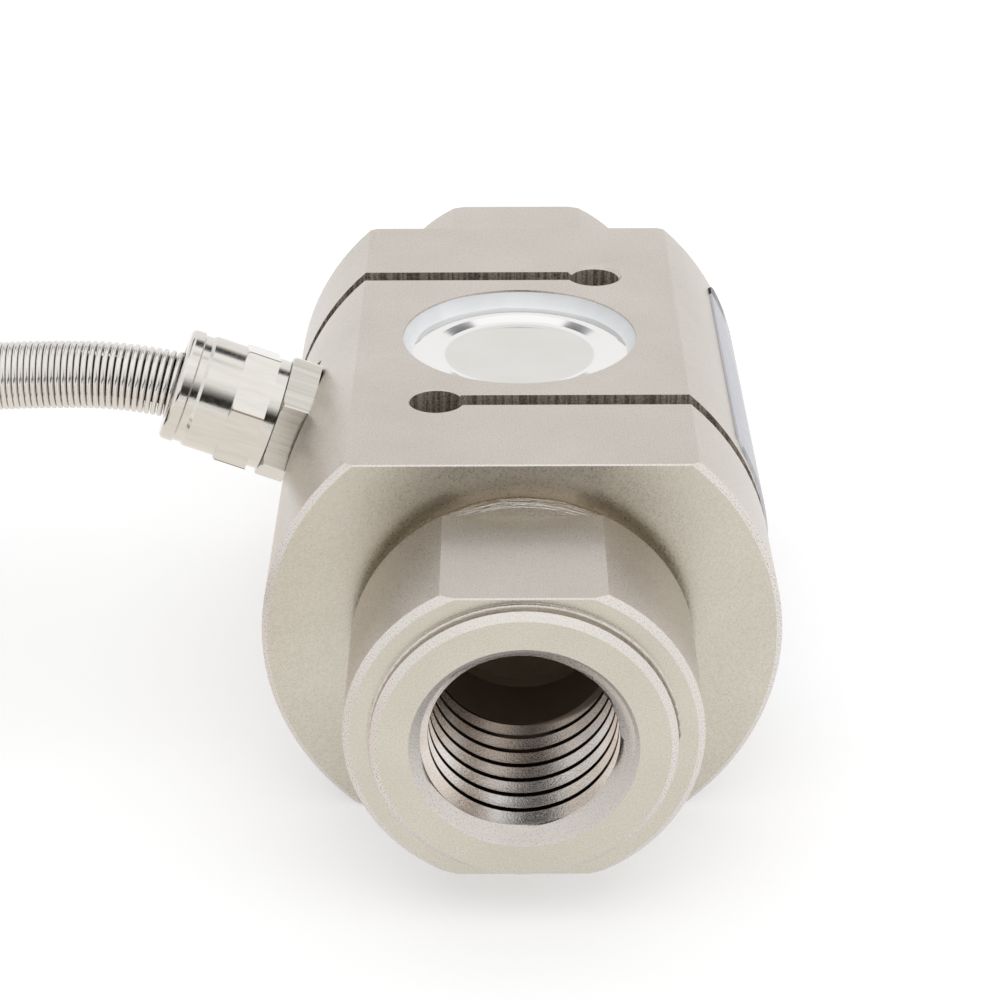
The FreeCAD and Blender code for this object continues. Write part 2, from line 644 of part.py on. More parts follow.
def guard_end_sleeve():
    """Crimped sleeve that closes the end of the hose round the cable."""
    body = piece_on_end("guard_end_sleeve", HOSE_POINTS)
    outer = "dim.hose_diameter / 2 + dim.sleeve_wall"
    inner = "dim.hose_diameter / 2 + dim.seat_clearance / 2"
    crimped = outer + " - dim.crimp_depth"
    back = "dim.sleeve_overhang - dim.sleeve_length"
    crimp = back + " + dim.crimp_start"
    crimp_end = crimp + " + dim.crimp_slope + dim.crimp_length"
    turn(body, "sleeve", [
        (inner, back),
        (outer + " - dim.sleeve_edge", back),
        (outer, back + " + dim.sleeve_edge"),
        (outer, crimp),
        (crimped, crimp + " + dim.crimp_slope"),
        (crimped, crimp_end),
        (outer, crimp_end + " + dim.crimp_slope"),
        (outer, "dim.sleeve_overhang - dim.sleeve_nose"),
        (outer + " - dim.sleeve_nose", "dim.sleeve_overhang"),
        ("dim.cable_diameter / 2 + dim.cable_clearance", "dim.sleeve_overhang"),
        ("dim.cable_diameter / 2 + dim.cable_clearance", "0"),
        (inner, "0"),
    ])
    return body


def coil_body(name):
    """A body at the middle of the coil, lying on its ties."""
    body = document.addObject("PartDesign::Body", name)
    body.Label = name
    body.setExpression("Placement.Base.x", "dim.coil_x")
    body.setExpression("Placement.Base.y", "dim.coil_y")
    body.setExpression("Placement.Base.z", "dim.tie_thickness + dim.tie_clearance")
    pieces.append(body)
    return body


def cable_coil():
    """The spare length of cable as one solid of the coil's outer shape."""
    body = coil_body("cable_coil")
    half = "dim.coil_section / 2"
    turn(body, "coil", box_corners("dim.coil_radius - " + half, "dim.coil_radius + " + half,
                                   "0", "dim.coil_section"))
    dress(body, "coil_edges", "Fillet", lambda edge: isinstance(edge.Curve, Part.Circle),
          Radius="dim.cable_diameter / 2")
    return body


def cable_tie(name, angle):
    """A tie drawn round the bundle, with its head on top."""
    body = coil_body(name)
    body.Placement.Rotation = FreeCAD.Rotation(Vector(0, 0, 1), angle)
    half = "dim.coil_section / 2 + dim.tie_clearance"
    near = "dim.coil_radius - (%s)" % half
    far = "dim.coil_radius + " + half
    low = "-dim.tie_clearance"
    high = "dim.coil_section + dim.tie_clearance"
    sketch = new_sketch(body, "XZ_Plane", name + "_outline")
    add_outline(sketch, box_corners(near + " - dim.tie_thickness", far + " + dim.tie_thickness",
                                    low + " - dim.tie_thickness", high + " + dim.tie_thickness"))
    add_outline(sketch, box_corners(near, far, low, high))
    band = pad(body, name + "_band", sketch, "dim.tie_width")
    band.SideType = "Symmetric"
    sketch = new_sketch(body, "XY_Plane", name + "_head_outline", height=high + " + dim.tie_thickness / 2")
    add_outline(sketch, box_corners("dim.coil_radius", "dim.coil_radius + dim.tie_head_length",
                                    "-dim.tie_head_width / 2", "dim.tie_head_width / 2"))
    pad(body, name + "_head", sketch, "dim.tie_head_height")
    return body


def cable_end_sleeve():
    """Shrunk sleeve over the end of the jacket and the roots of the leads."""
    body = piece_on_end("cable_end_sleeve", TAIL_POINTS)
    outer = "dim.cable_diameter / 2 + dim.shrink_wall"
    turn(body, "shrink", [
        ("dim.cable_diameter / 2", "dim.shrink_overhang - dim.shrink_length"),
        (outer, "dim.shrink_overhang - dim.shrink_length"),
        (outer, "dim.shrink_overhang - dim.shrink_edge"),
        (outer + " - dim.shrink_lip", "dim.shrink_overhang"),
        ("dim.cable_diameter / 2 + dim.cable_clearance", "dim.shrink_overhang"),
        ("dim.cable_diameter / 2 + dim.cable_clearance", "0"),
        ("dim.cable_diameter / 2", "0"),
    ])
    return body


def leads():
    """Four insulated leads and the shield's drain, fanned out on the ground past the sleeve."""
    end = TAIL_POINTS[-1]
    ahead = (end - TAIL_POINTS[-2]).normalize()
    across = Vector(0, 0, 1).cross(ahead).normalize()
    up = ahead.cross(across)
    ground = size("core_diameter") / 2 + size("lead_lift")
    for name, beside, above, spread in LEADS:
        start = end + across * beside + up * above
        points = [start + ahead * past + across * spread * share for past, share in LEAD_RUN]
        points[-2].z = ground + size("lead_lift")
        points[-1].z = ground
        diameter = size("drain_diameter") if name == "lead_shield" else size("core_diameter")
        swept(name, points, diameter / 2)


# --- What the cavities hold ------------------------------------------------------------------------

def strain_gauge(name, side, place, lower):
    """Foil gauge bonded to the web at 45 degrees: film, grid and two tabs."""
    body = new_body(name)
    rotation = FreeCAD.Rotation(Vector(0, 0, 1), 45 * side)
    if lower:
        rotation = FreeCAD.Rotation(Vector(1, 0, 0), 180).multiply(rotation)
    body.Placement.Rotation = rotation
    body.setExpression("Placement.Base.y", "%d * dim.gauge_offset" % (-place if lower else place))
    web = "dim.web_thickness / 2"
    film = new_sketch(body, "XY_Plane", name + "_film_outline", height=web)
    add_outline(film, box_corners("-dim.gauge_length / 2", "dim.gauge_length / 2",
                                  "-dim.gauge_width / 2", "dim.gauge_width / 2"))
    pad(body, name + "_film", film, "dim.gauge_film")
    foil = new_sketch(body, "XY_Plane", name + "_foil_outline", height=web + " + dim.gauge_film")
    left = "-dim.gauge_length / 2"
    grid = left + " + dim.grid_start"
    add_outline(foil, box_corners(grid, grid + " + dim.grid_length",
                                  "-dim.grid_width / 2", "dim.grid_width / 2"))
    tab = left + " + dim.tab_start"
    for side_sign in ("", "-"):
        near = side_sign + "dim.tab_gap / 2"
        far = side_sign + "(dim.tab_gap / 2 + dim.tab_width)"
        add_outline(foil, box_corners(tab, tab + " + dim.tab_length", near, far))
    pad(body, name + "_foil", foil, "dim.gauge_film / 2")
    body.Tip.Refine = False
    return body


def bridge_board():
    """Terminal board on the web beside the gauges."""
    body = new_body("bridge_board")
    sketch = new_sketch(body, "XY_Plane", "board_outline", height="dim.web_thickness / 2")
    add_outline(sketch, box_corners(BOARD_START, BOARD_END, "-dim.board_width / 2", "dim.board_width / 2"))
    pad(body, "board", sketch, "dim.board_thickness")
    return body


def trim_resistors():
    """Three small resistors that trim the bridge, in a row on the board."""
    group = document.addObject("Part::Compound", "trim_resistors")
    group.Label = "trim_resistors"
    chips = []
    for index in (-1, 0, 1):
        chip = document.addObject("Part::Box", "trim_resistor_%d" % (index + 2))
        chip.setExpression("Length", "dim.chip_length")
        chip.setExpression("Width", "dim.chip_width")
        chip.setExpression("Height", "dim.chip_height")
        chip.setExpression("Placement.Base.x", CHIP_START)
        chip.setExpression("Placement.Base.y", "%d * dim.chip_pitch - dim.chip_width / 2" % index)
        chip.setExpression("Placement.Base.z",
                           AXIS_HEIGHT + " + dim.web_thickness / 2 + dim.board_thickness")
        chips.append(chip)
    group.Links = chips
    pieces.append(group)


def inner_cores():
    """The four cores from the end of the jacket through the passage to the board."""
    angle = math.radians(size("gland_elevation"))
    upward = Vector(math.sin(angle), 0, math.cos(angle))
    radius = size("core_diameter") / 2
    board_top = size("across_flats") / 2 + size("web_thickness") / 2 + size("board_thickness")
    landing = value_of(BOARD_START) + size("core_landing") * (value_of(CHIP_START) - value_of(BOARD_START))
    bend_reach = value_of(CAVITY_RADIUS) - size("core_bend_gap")
    for name, across, above, reach in CORES:
        shift = upward * above + Vector(0, across, 0)
        start = on_gland_axis(size("nut_hex_start")) + shift
        bend = on_gland_axis(bend_reach - size("body_diameter") / 2) + shift
        finish = Vector(landing, reach, board_top + radius + size("core_lift"))
        swept(name, [start, bend, finish], radius)


# --- Assembly ----------------------------------------------------------------------------------------

spring_element()
for place_name, is_lower in (("top", False), ("bottom", True)):
    sealing_cup("sealing_cup_" + place_name, is_lower)
    sealant("sealant_" + place_name, is_lower)
nameplate()
gland_body()
gland_seal_ring()
gland_nut()
gland_bush()
gland_washer()
swept("spring_guard", HOSE_POINTS, size("hose_diameter") / 2, size("hose_diameter") / 2 - size("hose_wire"))
guard_end_sleeve()
swept("signal_cable", CABLE_POINTS, size("cable_diameter") / 2)
cable_coil()
cable_tie("cable_tie_1", 60)
cable_tie("cable_tie_2", 240)
swept("cable_tail", TAIL_POINTS, size("cable_diameter") / 2)
cable_end_sleeve()
leads()
strain_gauge("strain_gauge_1", 1, 1, False)
strain_gauge("strain_gauge_2", -1, -1, False)
strain_gauge("strain_gauge_3", 1, 1, True)
strain_gauge("strain_gauge_4", -1, -1, True)
bridge_board()
trim_resistors()
inner_cores()

document.recompute()

for item in document.Objects:
    if "Invalid" in item.State or "Error" in item.State:
        raise RuntimeError("%s did not compute: %s" % (item.Name, item.State))
    if item.TypeId in ("PartDesign::Pocket", "PartDesign::Groove"):
        if item.Shape.Volume > item.BaseFeature.Shape.Volume - 1e-3:
            raise RuntimeError("%s cuts nothing" % item.Name)
for piece in pieces:
    if piece.Shape.isNull() or not piece.Shape.isValid() or piece.Shape.Volume <= 0:
        raise RuntimeError("%s has no valid shape" % piece.Label)

os.makedirs("parts", exist_ok=True)
for piece in pieces:
    piece.Shape.exportStep("parts/%s.step" % piece.Label)
    box = piece.Shape.BoundBox
    print("%-20s %9.2f mm3  %2d solids  x %7.2f %7.2f  y %7.2f %7.2f  z %6.2f %6.2f" % (
        piece.Label, piece.Shape.Volume, len(piece.Shape.Solids),
        box.XMin, box.XMax, box.YMin, box.YMax, box.ZMin, box.ZMax))
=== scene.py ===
import math

import bmesh
import bpy
import numpy as np
from mathutils import Matrix, Vector


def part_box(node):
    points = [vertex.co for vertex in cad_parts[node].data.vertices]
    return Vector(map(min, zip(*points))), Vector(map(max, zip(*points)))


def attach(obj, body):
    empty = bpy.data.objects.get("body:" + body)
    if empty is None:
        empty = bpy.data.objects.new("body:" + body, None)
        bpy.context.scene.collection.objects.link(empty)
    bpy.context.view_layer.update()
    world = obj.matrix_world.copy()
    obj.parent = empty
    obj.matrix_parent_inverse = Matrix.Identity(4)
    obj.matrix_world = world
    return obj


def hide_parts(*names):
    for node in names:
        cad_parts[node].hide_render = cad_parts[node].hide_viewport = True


# S type load cell with threaded ends, a sealed gauge cavity and a sprung cable outlet.
# Metres throughout; the loading axis runs along Y, half way up the bar.
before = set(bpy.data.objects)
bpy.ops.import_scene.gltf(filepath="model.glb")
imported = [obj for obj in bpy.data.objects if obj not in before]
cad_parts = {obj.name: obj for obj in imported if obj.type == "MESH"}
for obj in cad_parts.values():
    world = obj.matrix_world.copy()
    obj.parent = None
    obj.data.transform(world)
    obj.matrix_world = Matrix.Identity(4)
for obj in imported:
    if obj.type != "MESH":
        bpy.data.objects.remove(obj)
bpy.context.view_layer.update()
MM = 0.001


# --- Spring element ----------------------------------------------------------------------------
# One bar of alloy steel: turned, milled flat above and below, bored and tapped at both ends and
# cut to an S by two wire-cut slots. It is blasted lightly and nickel plated, so it looks satin.

bar_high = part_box("spring_element")[1]
axis_height = bar_high[2] / 2
end_face = bar_high[1]


def tone(red, green, blue):
    """The shader's linear colour of a screen colour: each part over 255, raised to the power 2.2."""
    return tuple((part / 255) ** 2.2 for part in (red, green, blue)) + (1.0,)


def add(tree, kind, inputs=None, **settings):
    """A shader node with its settings made and its inputs set to numbers or fed by other outputs."""
    made = tree.nodes.new("ShaderNode" + kind)
    for name, value in settings.items():
        setattr(made, name, value)
    for name, value in (inputs or {}).items():
        if isinstance(value, bpy.types.NodeSocket):
            tree.links.new(value, made.inputs[name])
        else:
            made.inputs[name].default_value = value
    return made


def new_finish(name, **sockets):
    """A material, with the constant numbers of its shader set on the shader itself."""
    material = bpy.data.materials.new(name)
    material.use_nodes = True
    tree = material.node_tree
    shader = tree.nodes["Principled BSDF"]
    for socket, value in sockets.items():
        shader.inputs[socket.replace("_", " ")].default_value = value
    place = add(tree, "TexCoord").outputs["Object"]
    return material, tree, shader, place


def noise(tree, place, per_mm, detail=2.0, roughness=0.5, squeeze=None):
    """Cloudy variation from 0 to 1 with so many lumps a millimetre, squeezed so many times on each axis."""
    if squeeze is not None:
        place = add(tree, "Mapping", {"Vector": place, "Scale": squeeze},
                    vector_type="POINT").outputs["Vector"]
    return add(tree, "TexNoise", {"Vector": place, "Scale": per_mm / MM, "Detail": detail,
                                  "Roughness": roughness}).outputs["Fac"]


def shades(tree, factor, *stops):
    """Colours run along a factor: each stop is a place from 0 to 1 and a colour."""
    made = add(tree, "ValToRGB", {"Fac": factor})
    ramp = made.color_ramp
    for index, (spot, colour) in enumerate(stops):
        stop = ramp.elements[index] if index < 2 else ramp.elements.new(spot)
        stop.position = spot
        stop.color = colour
    return made.outputs["Color"]


def between(tree, factor, low, high, start=0.0, end=1.0):
    """A number that runs from low to high as the factor runs from start to end."""
    return add(tree, "MapRange", {"Value": factor, "From Min": start, "From Max": end,
                                  "To Min": low, "To Max": high}).outputs["Result"]


def relief(tree, height, depth_mm, normal=None):
    """A bumped normal for a height from 0 to 1 that is so many millimetres deep."""
    inputs = {"Height": height, "Distance": depth_mm * MM, "Strength": 1.0}
    if normal is not None:
        inputs["Normal"] = normal
    return add(tree, "Bump", inputs).outputs["Normal"]


def work_out(tree, operation, first, second=0.0, clamp=False):
    """One sum on two numbers or outputs."""
    made = tree.nodes.new("ShaderNodeMath")
    made.operation = operation
    made.use_clamp = clamp
    for socket, value in zip(made.inputs, (first, second)):
        if isinstance(value, bpy.types.NodeSocket):
            tree.links.new(value, socket)
        else:
            socket.default_value = value
    return made.outputs[0]


def product(tree, first, *others):
    """Numbers or outputs multiplied one after another."""
    for other in others:
        first = work_out(tree, "MULTIPLY", first, other)
    return first


def mixed(tree, factor, first, second, how="MIX"):
    """Two colours mixed by a factor."""
    made = add(tree, "Mix", data_type="RGBA", blend_type=how)
    for socket, value in ((made.inputs[0], factor), (made.inputs[6], first), (made.inputs[7], second)):
        if isinstance(value, bpy.types.NodeSocket):
            tree.links.new(value, socket)
        else:
            socket.default_value = value
    return made.outputs[2]


def feed(tree, shader, **sockets):
    """Join outputs to the shader's sockets."""
    for socket, output in sockets.items():
        tree.links.new(output, shader.inputs[socket.replace("_", " ")])


def dress(node, material):
    """Give a carried-over node its finish."""
    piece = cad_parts[node]
    piece.data.materials.clear()
    piece.data.materials.append(material)
    return piece


def inside(tree, value, low, high, edge):
    """One inside a band of a value and nought outside it, with soft edges."""
    up = between(tree, value, 0.0, 1.0, low - edge, low + edge)
    down = between(tree, value, 1.0, 0.0, high - edge, high + edge)
    return work_out(tree, "MULTIPLY", up, down, clamp=True)


def reach_from(tree, first, second):
    """Distance from an axis: the root of the two squares added."""
    return work_out(tree, "SQRT", work_out(tree, "ADD", product(tree, first, first),
                                           product(tree, second, second)))


SLOT_OFFSET = 19.1 * MM
SLOT_WIDTH = 2.7 * MM
END_HOLE_OFFSET = 19.3 * MM
END_HOLE_X = 9.9 * MM
END_HOLE = 3.15 * MM
BODY_END = 36.3 * MM
BEVEL_START = 35.3 * MM
BOSS_START = 38.85 * MM
RUBBED_LENGTH = 6.0 * MM
NECK_REACH = (15.0 * MM, 18.75 * MM)
NECK_SHADE_REACH = (18.8 * MM, 21.5 * MM)
NECK_SHADE_HEIGHT = (4.0 * MM, 14.0 * MM)
COUNTERSINK_REACH = (14.0 * MM, 15.0 * MM)
BORE_MOUTH = 12.45 * MM
BORE_FROM_DEPTH = (1.4 * MM, 2.6 * MM)
BORE_SHADE_DEPTH = (8.0 * MM, 22.0 * MM)
THREAD_CREST = 10.4 * MM
THREAD_DEPTH = 22.2 * MM
DRILLED_DEPTH = 21.7 * MM

# a finish reaches a hair past the metal that it covers, or fades out over a soft edge
SOFT_EDGE = 0.1 * MM
HAIR = 0.02 * MM

satin_nickel, tree, shader, place = new_finish("satin_nickel")
grain = noise(tree, place, 5.0, detail=3.0, roughness=0.65)
clouds = noise(tree, place, 0.07, detail=4.0, roughness=0.55)
plated = shades(tree, clouds, (0.30, tone(203, 195, 186)), (0.72, tone(212, 204, 196)))
pitted = shades(tree, grain, (0.34, (0.84, 0.84, 0.84, 1.0)), (0.60, (1.0, 1.0, 1.0, 1.0)))
colour = mixed(tree, 1.0, plated, pitted, how="MULTIPLY")

# places on the bar run along and out from the loading axis, and the two ends share one recipe
parts = add(tree, "SeparateXYZ", {"Vector": place})
across = parts.outputs["X"]
along = work_out(tree, "ABSOLUTE", parts.outputs["Y"])
above = work_out(tree, "SUBTRACT", parts.outputs["Z"], axis_height)
reach = reach_from(tree, across, above)
facing = add(tree, "SeparateXYZ", {"Vector": add(tree, "TexCoord").outputs["Normal"]})
facing_along = work_out(tree, "ABSOLUTE", facing.outputs["Y"])
facing_up = work_out(tree, "ABSOLUTE", facing.outputs["Z"])

# the end faces are yellower than the flats, and a brown painted shade lies on each end face above the boss,
# where the corner at its root is in shade
faced = between(tree, facing_along, 0.0, 1.0, 0.85, 0.95)
faced_colour = shades(tree, clouds, (0.30, tone(205, 199, 185)), (0.72, tone(213, 207, 194)))
colour = mixed(tree, faced, colour, mixed(tree, 1.0, faced_colour, pitted, how="MULTIPLY"))
painted_neck_shade = product(tree, faced,
                  between(tree, reach, 1.0, 0.0, *NECK_SHADE_REACH),
                  between(tree, above, 0.0, 1.0, *NECK_SHADE_HEIGHT),
                  inside(tree, along, BODY_END - 2 * SOFT_EDGE, BODY_END + 2 * SOFT_EDGE, SOFT_EDGE / 2))
# painted shade: the end face is darkened to brown above the boss's root
colour = mixed(tree, product(tree, painted_neck_shade, 0.75), colour, tone(150, 130, 102))

# turned bevels and countersinks are painted brighter, a painted highlight of the bright room they mirror:
# their faces stand at 45 degrees to the loading axis
bevels = product(tree, inside(tree, facing_along, 0.64, 0.77, 0.02),
                 between(tree, along, 0.0, 1.0, BEVEL_START, BEVEL_START + 2 * SOFT_EDGE))
highlight_speckle = noise(tree, place, 5.0, detail=3.0, roughness=0.7)
bright = shades(tree, highlight_speckle, (0.36, tone(223, 216, 211)), (0.60, tone(233, 227, 222)))
# painted highlight on the bevels and countersinks
colour = mixed(tree, product(tree, bevels, 0.8), colour, bright)

# painted shade down each bore: its colour runs from light near the mouth to dark brown with depth, and the
# drilled end is a flat brown that is not metallic; the thread's crests are painted dark, a painted reflection
# of the dark bore
depth = work_out(tree, "SUBTRACT", end_face, along)
bored = product(tree, between(tree, reach, 1.0, 0.0, BORE_MOUTH, BORE_MOUTH + 3 * HAIR),
                between(tree, depth, 0.0, 1.0, *BORE_FROM_DEPTH))
bore_mottle = noise(tree, place, 0.12, detail=3.0)
shaded_bore = shades(tree, bore_mottle, (0.35, tone(214, 202, 190)), (0.65, tone(240, 236, 233)))
# painted shade: darker with depth down the bore
shaded_bore = mixed(tree, between(tree, depth, 0.0, 0.7, *BORE_SHADE_DEPTH), shaded_bore, tone(132, 114, 98))
colour = mixed(tree, bored, colour, mixed(tree, 1.0, shaded_bore, pitted, how="MULTIPLY"))
crested = product(tree, bored,
                  between(tree, reach, 1.0, 0.0, THREAD_CREST + HAIR / 2, THREAD_CREST + 2 * HAIR))
drilled = product(tree, bored, between(tree, depth, 0.0, 1.0, DRILLED_DEPTH, DRILLED_DEPTH + 2 * SOFT_EDGE))
# painted reflection: the crests are darkened as if mirroring the dark bore
colour = mixed(tree, crested, colour, tone(66, 56, 48))
colour = mixed(tree, drilled, colour, tone(146, 126, 106))

# wire cutting leaves brown, grainy walls with fine upright ridges in the slots and their end holes
slotted = product(tree, faced, inside(tree, along, SLOT_OFFSET - SLOT_WIDTH / 2 - HAIR,
                                      SLOT_OFFSET + SLOT_WIDTH / 2 + HAIR, HAIR / 4))
sideways = product(tree, across, work_out(tree, "SIGN", parts.outputs["Y"]))
from_hole = reach_from(tree, work_out(tree, "SUBTRACT", sideways, END_HOLE_X),
                       work_out(tree, "SUBTRACT", along, END_HOLE_OFFSET))
holed = product(tree, between(tree, facing_up, 1.0, 0.0, 0.1, 0.3),
                between(tree, from_hole, 1.0, 0.0, END_HOLE + HAIR, END_HOLE + 1.5 * HAIR))
wire_cut = work_out(tree, "MAXIMUM", slotted, holed)
ridges = noise(tree, place, 2.4, detail=2.0, squeeze=(1.0, 0.2, 0.03))
scale = noise(tree, place, 4.0, detail=3.0, roughness=0.7)
burnt = mixed(tree, 0.5, shades(tree, ridges, (0.42, tone(92, 80, 69)), (0.58, tone(222, 210, 196))),
              shades(tree, scale, (0.40, tone(108, 97, 86)), (0.66, tone(232, 223, 211))))
colour = mixed(tree, wire_cut, colour, burnt)

# the bosses' flats are rubbed bright towards the neck
rubbed_end = BOSS_START + RUBBED_LENGTH
rubbed = product(tree, between(tree, facing_up, 0.0, 1.0, 0.93, 0.98),
                 inside(tree, along, BOSS_START, rubbed_end, SOFT_EDGE),
                 between(tree, along, 1.0, 0.0, BOSS_START, rubbed_end))
colour = mixed(tree, rubbed, colour, tone(246, 238, 229))

# the narrow neck is left as turned, with rings; it is painted bright, a painted highlight of the bright room
# above that it mirrors
necked = product(tree, inside(tree, along, BODY_END + SOFT_EDGE, BOSS_START - HAIR, HAIR),
                 inside(tree, reach, *NECK_REACH, SOFT_EDGE / 2))
rings = noise(tree, place, 2.4, detail=3.0, roughness=0.7, squeeze=(0.12, 1.0, 0.12))
colour = mixed(tree, necked, colour, tone(244, 241, 238))

# freshly cut and burnt metal mirrors less than the plating; the neck and the bores are smoother
dulled = work_out(tree, "MAXIMUM", product(tree, bevels, between(tree, reach, 0.7, 0.35, *COUNTERSINK_REACH)),
                  product(tree, wire_cut, 0.5))
smooth = work_out(tree, "MAXIMUM", necked, product(tree, bored, 0.6))
feed(tree, shader,
     Base_Color=colour,
     Metallic=work_out(tree, "SUBTRACT", between(tree, drilled, 1.0, 0.0), dulled, clamp=True),
     Roughness=product(tree, between(tree, grain, 0.24, 0.36, 0.3, 0.7), between(tree, smooth, 1.0, 0.45)),
     Normal=relief(tree, product(tree, necked, rings), 0.27, relief(tree, grain, 0.02)))
dress("spring_element", satin_nickel)


# --- Threads of the two ends --------------------------------------------------------------------
# M24 x 3 right-hand thread tapped into each bore, its first turns cut back by the countersink.
# Each is the ridge of metal that stands inward from the wall at the major diameter.

THREAD_MAJOR = 12.0 * MM
PITCH = 3.0 * MM
RIDGE_START = 0.46 * MM

# the profile's start, half its root and one flank are shares of the pitch
THREAD_START = 0.11
HALF_ROOT = 0.04
FLANK = 0.335

# points this near are welded, and an edge or a face this small is left out
WELDED = 2e-7
TOO_SMALL = 1e-7
NO_FACE = 1e-6


def closed_mesh(name, points, faces, smooth_to=35):
    """A shell from points and faces: doubles merged, faces turned outward, smooth up to so many degrees."""
    mesh = bpy.data.meshes.new(name)
    mesh.from_pydata(points.reshape(-1, 3).tolist(), [], faces.tolist())
    work = bmesh.new()
    work.from_mesh(mesh)
    bmesh.ops.remove_doubles(work, verts=work.verts, dist=WELDED)
    bmesh.ops.dissolve_degenerate(work, edges=work.edges, dist=TOO_SMALL)
    bmesh.ops.recalc_face_normals(work, faces=work.faces)
    work.to_mesh(mesh)
    work.free()
    mesh.shade_smooth()
    mesh.set_sharp_from_angle(angle=math.radians(smooth_to))
    piece = bpy.data.objects.new(name, mesh)
    bpy.context.scene.collection.objects.link(piece)
    return piece


def grid_faces(rows, columns, ring_rows=False, ring_columns=False):
    """Four-sided faces between neighbouring rows and columns of a grid, joined round where it is a ring."""
    number = np.arange(rows * columns).reshape(rows, columns)
    if ring_rows:
        number = np.vstack([number, number[:1]])
    if ring_columns:
        number = np.hstack([number, number[:, :1]])
    corners = (number[:-1, :-1], number[1:, :-1], number[1:, 1:], number[:-1, 1:])
    return np.stack(corners, axis=-1).reshape(-1, 4)


def thread_radius(turn, depth):
    """Wall radius at a turn from 0 to 1 and a depth. The phase is the depth in pitches, less the turn. At
    its middle the radius is the root's, and it falls evenly along each flank, a share of the pitch long, to
    the crest's. The countersink's cone is never less."""
    phase = ((depth - PITCH * turn) / PITCH + THREAD_START) % 1.0
    fall = np.clip((np.abs(phase - 0.5) - HALF_ROOT) / FLANK, 0.0, 1.0)
    radius = THREAD_CREST + (THREAD_MAJOR - THREAD_CREST) * (1 - fall)
    return np.minimum(np.maximum(radius, BORE_MOUTH - depth), THREAD_MAJOR - HAIR / 2)


def thread_ridges(name, side):
    """Ridges of one bore, on a grid of depth and turn. Rows follow the helix at each corner of the profile
    and between, so that every ridge stays crisp, and are held between the mouth and the run-out. Two more
    rows close the back, a hair inside the bar."""
    around = 240
    stops = np.array([0.0, 0.125, 0.20, 0.28, 0.36, 0.46, 0.50, 0.54, 0.64, 0.72, 0.80, 0.875])
    turn = np.linspace(0.0, 1.0, around + 1)[None, :]
    pitches = np.arange(-1, int(THREAD_DEPTH / PITCH) + 2)
    row = (pitches[:, None] + stops[None, :] - THREAD_START).reshape(-1, 1)
    depth = np.clip(row * PITCH + PITCH * turn, RIDGE_START, THREAD_DEPTH - HAIR)
    radius = thread_radius(turn, depth)
    back = np.full_like(turn, THREAD_MAJOR + 1.5 * HAIR)
    radius = np.vstack([back, radius, back])
    depth = np.vstack([depth[:1], depth, depth[-1:]])
    angle = 2 * np.pi * turn * side
    points = np.stack([radius * np.sin(angle),
                       side * (end_face - depth),
                       axis_height + radius * np.cos(angle)], axis=-1)
    faces = grid_faces(*radius.shape, ring_rows=True)
    corners = points.reshape(-1, 3)[faces]
    kept = np.linalg.norm(corners[:, 0] - corners[:, 2], axis=1) > NO_FACE
    piece = closed_mesh(name, points, faces[kept], smooth_to=28)
    piece.data.materials.append(satin_nickel)
    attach(piece, "root")


thread_ridges("front_thread_ridges", -1)
thread_ridges("rear_thread_ridges", 1)


# --- Covers of the gauge cavity -------------------------------------------------------------------
# A pressed stainless cup closes the cavity above and below: a narrow rim, an S bend and a sunk floor.
# It is rolled and pressed bright, and its floor is a little greyer than the bend.

CUP_FLOOR = (9.1 * MM, 9.4 * MM)

cup_steel, tree, shader, place = new_finish("cup_steel", Metallic=1.0)
rolled = noise(tree, place, 1.6, detail=3.0, squeeze=(1.0, 14.0, 1.0))
clouds = noise(tree, place, 0.12, detail=3.0)
parts = add(tree, "SeparateXYZ", {"Vector": place})
sunk = between(tree, reach_from(tree, parts.outputs["X"], parts.outputs["Y"]), 1.0, 0.0, *CUP_FLOOR)
floor_colour = shades(tree, clouds, (0.3, tone(217, 214, 209)), (0.7, tone(221, 219, 215)))
feed(tree, shader,
     Base_Color=mixed(tree, sunk, tone(236, 235, 234), floor_colour),
     Roughness=between(tree, rolled, 0.05, 0.09, 0.3, 0.7),
     Normal=relief(tree, rolled, 0.0006))
dress("sealing_cup_top", cup_steel)
dress("sealing_cup_bottom", cup_steel)


# --- Sealant round the covers ---------------------------------------------------------------------
# White silicone run round each cup's rim and wiped to a slope. It is smooth and glossy, a little
# uneven in height and width, and carries a few specks of dirt.

SEALANT_WALL = 14.38 * MM
SEALANT_INNER = 13.2 * MM
SEALANT_TOP = 0.15 * MM
SEALANT_WANDER = 0.10 * MM
SEALANT_SAG = 0.05 * MM
SEALANT_TUCK = 0.3 * MM
RIM_DROP = 1.95 * MM

white_sealant, tree, shader, place = new_finish("white_sealant", IOR=1.43, Roughness=0.32)
clouds = noise(tree, place, 0.25, detail=4.0)
specks = add(tree, "TexVoronoi", {"Vector": place, "Scale": 0.16 / MM}).outputs["Distance"]
clean = shades(tree, clouds, (0.35, tone(229, 231, 233)), (0.7, tone(237, 239, 241)))
feed(tree, shader,
     Base_Color=mixed(tree, between(tree, specks, 1.0, 0.0, 0.035, 0.06), clean, tone(96, 90, 84)),
     Normal=relief(tree, noise(tree, place, 0.4, detail=2.0), 0.03))


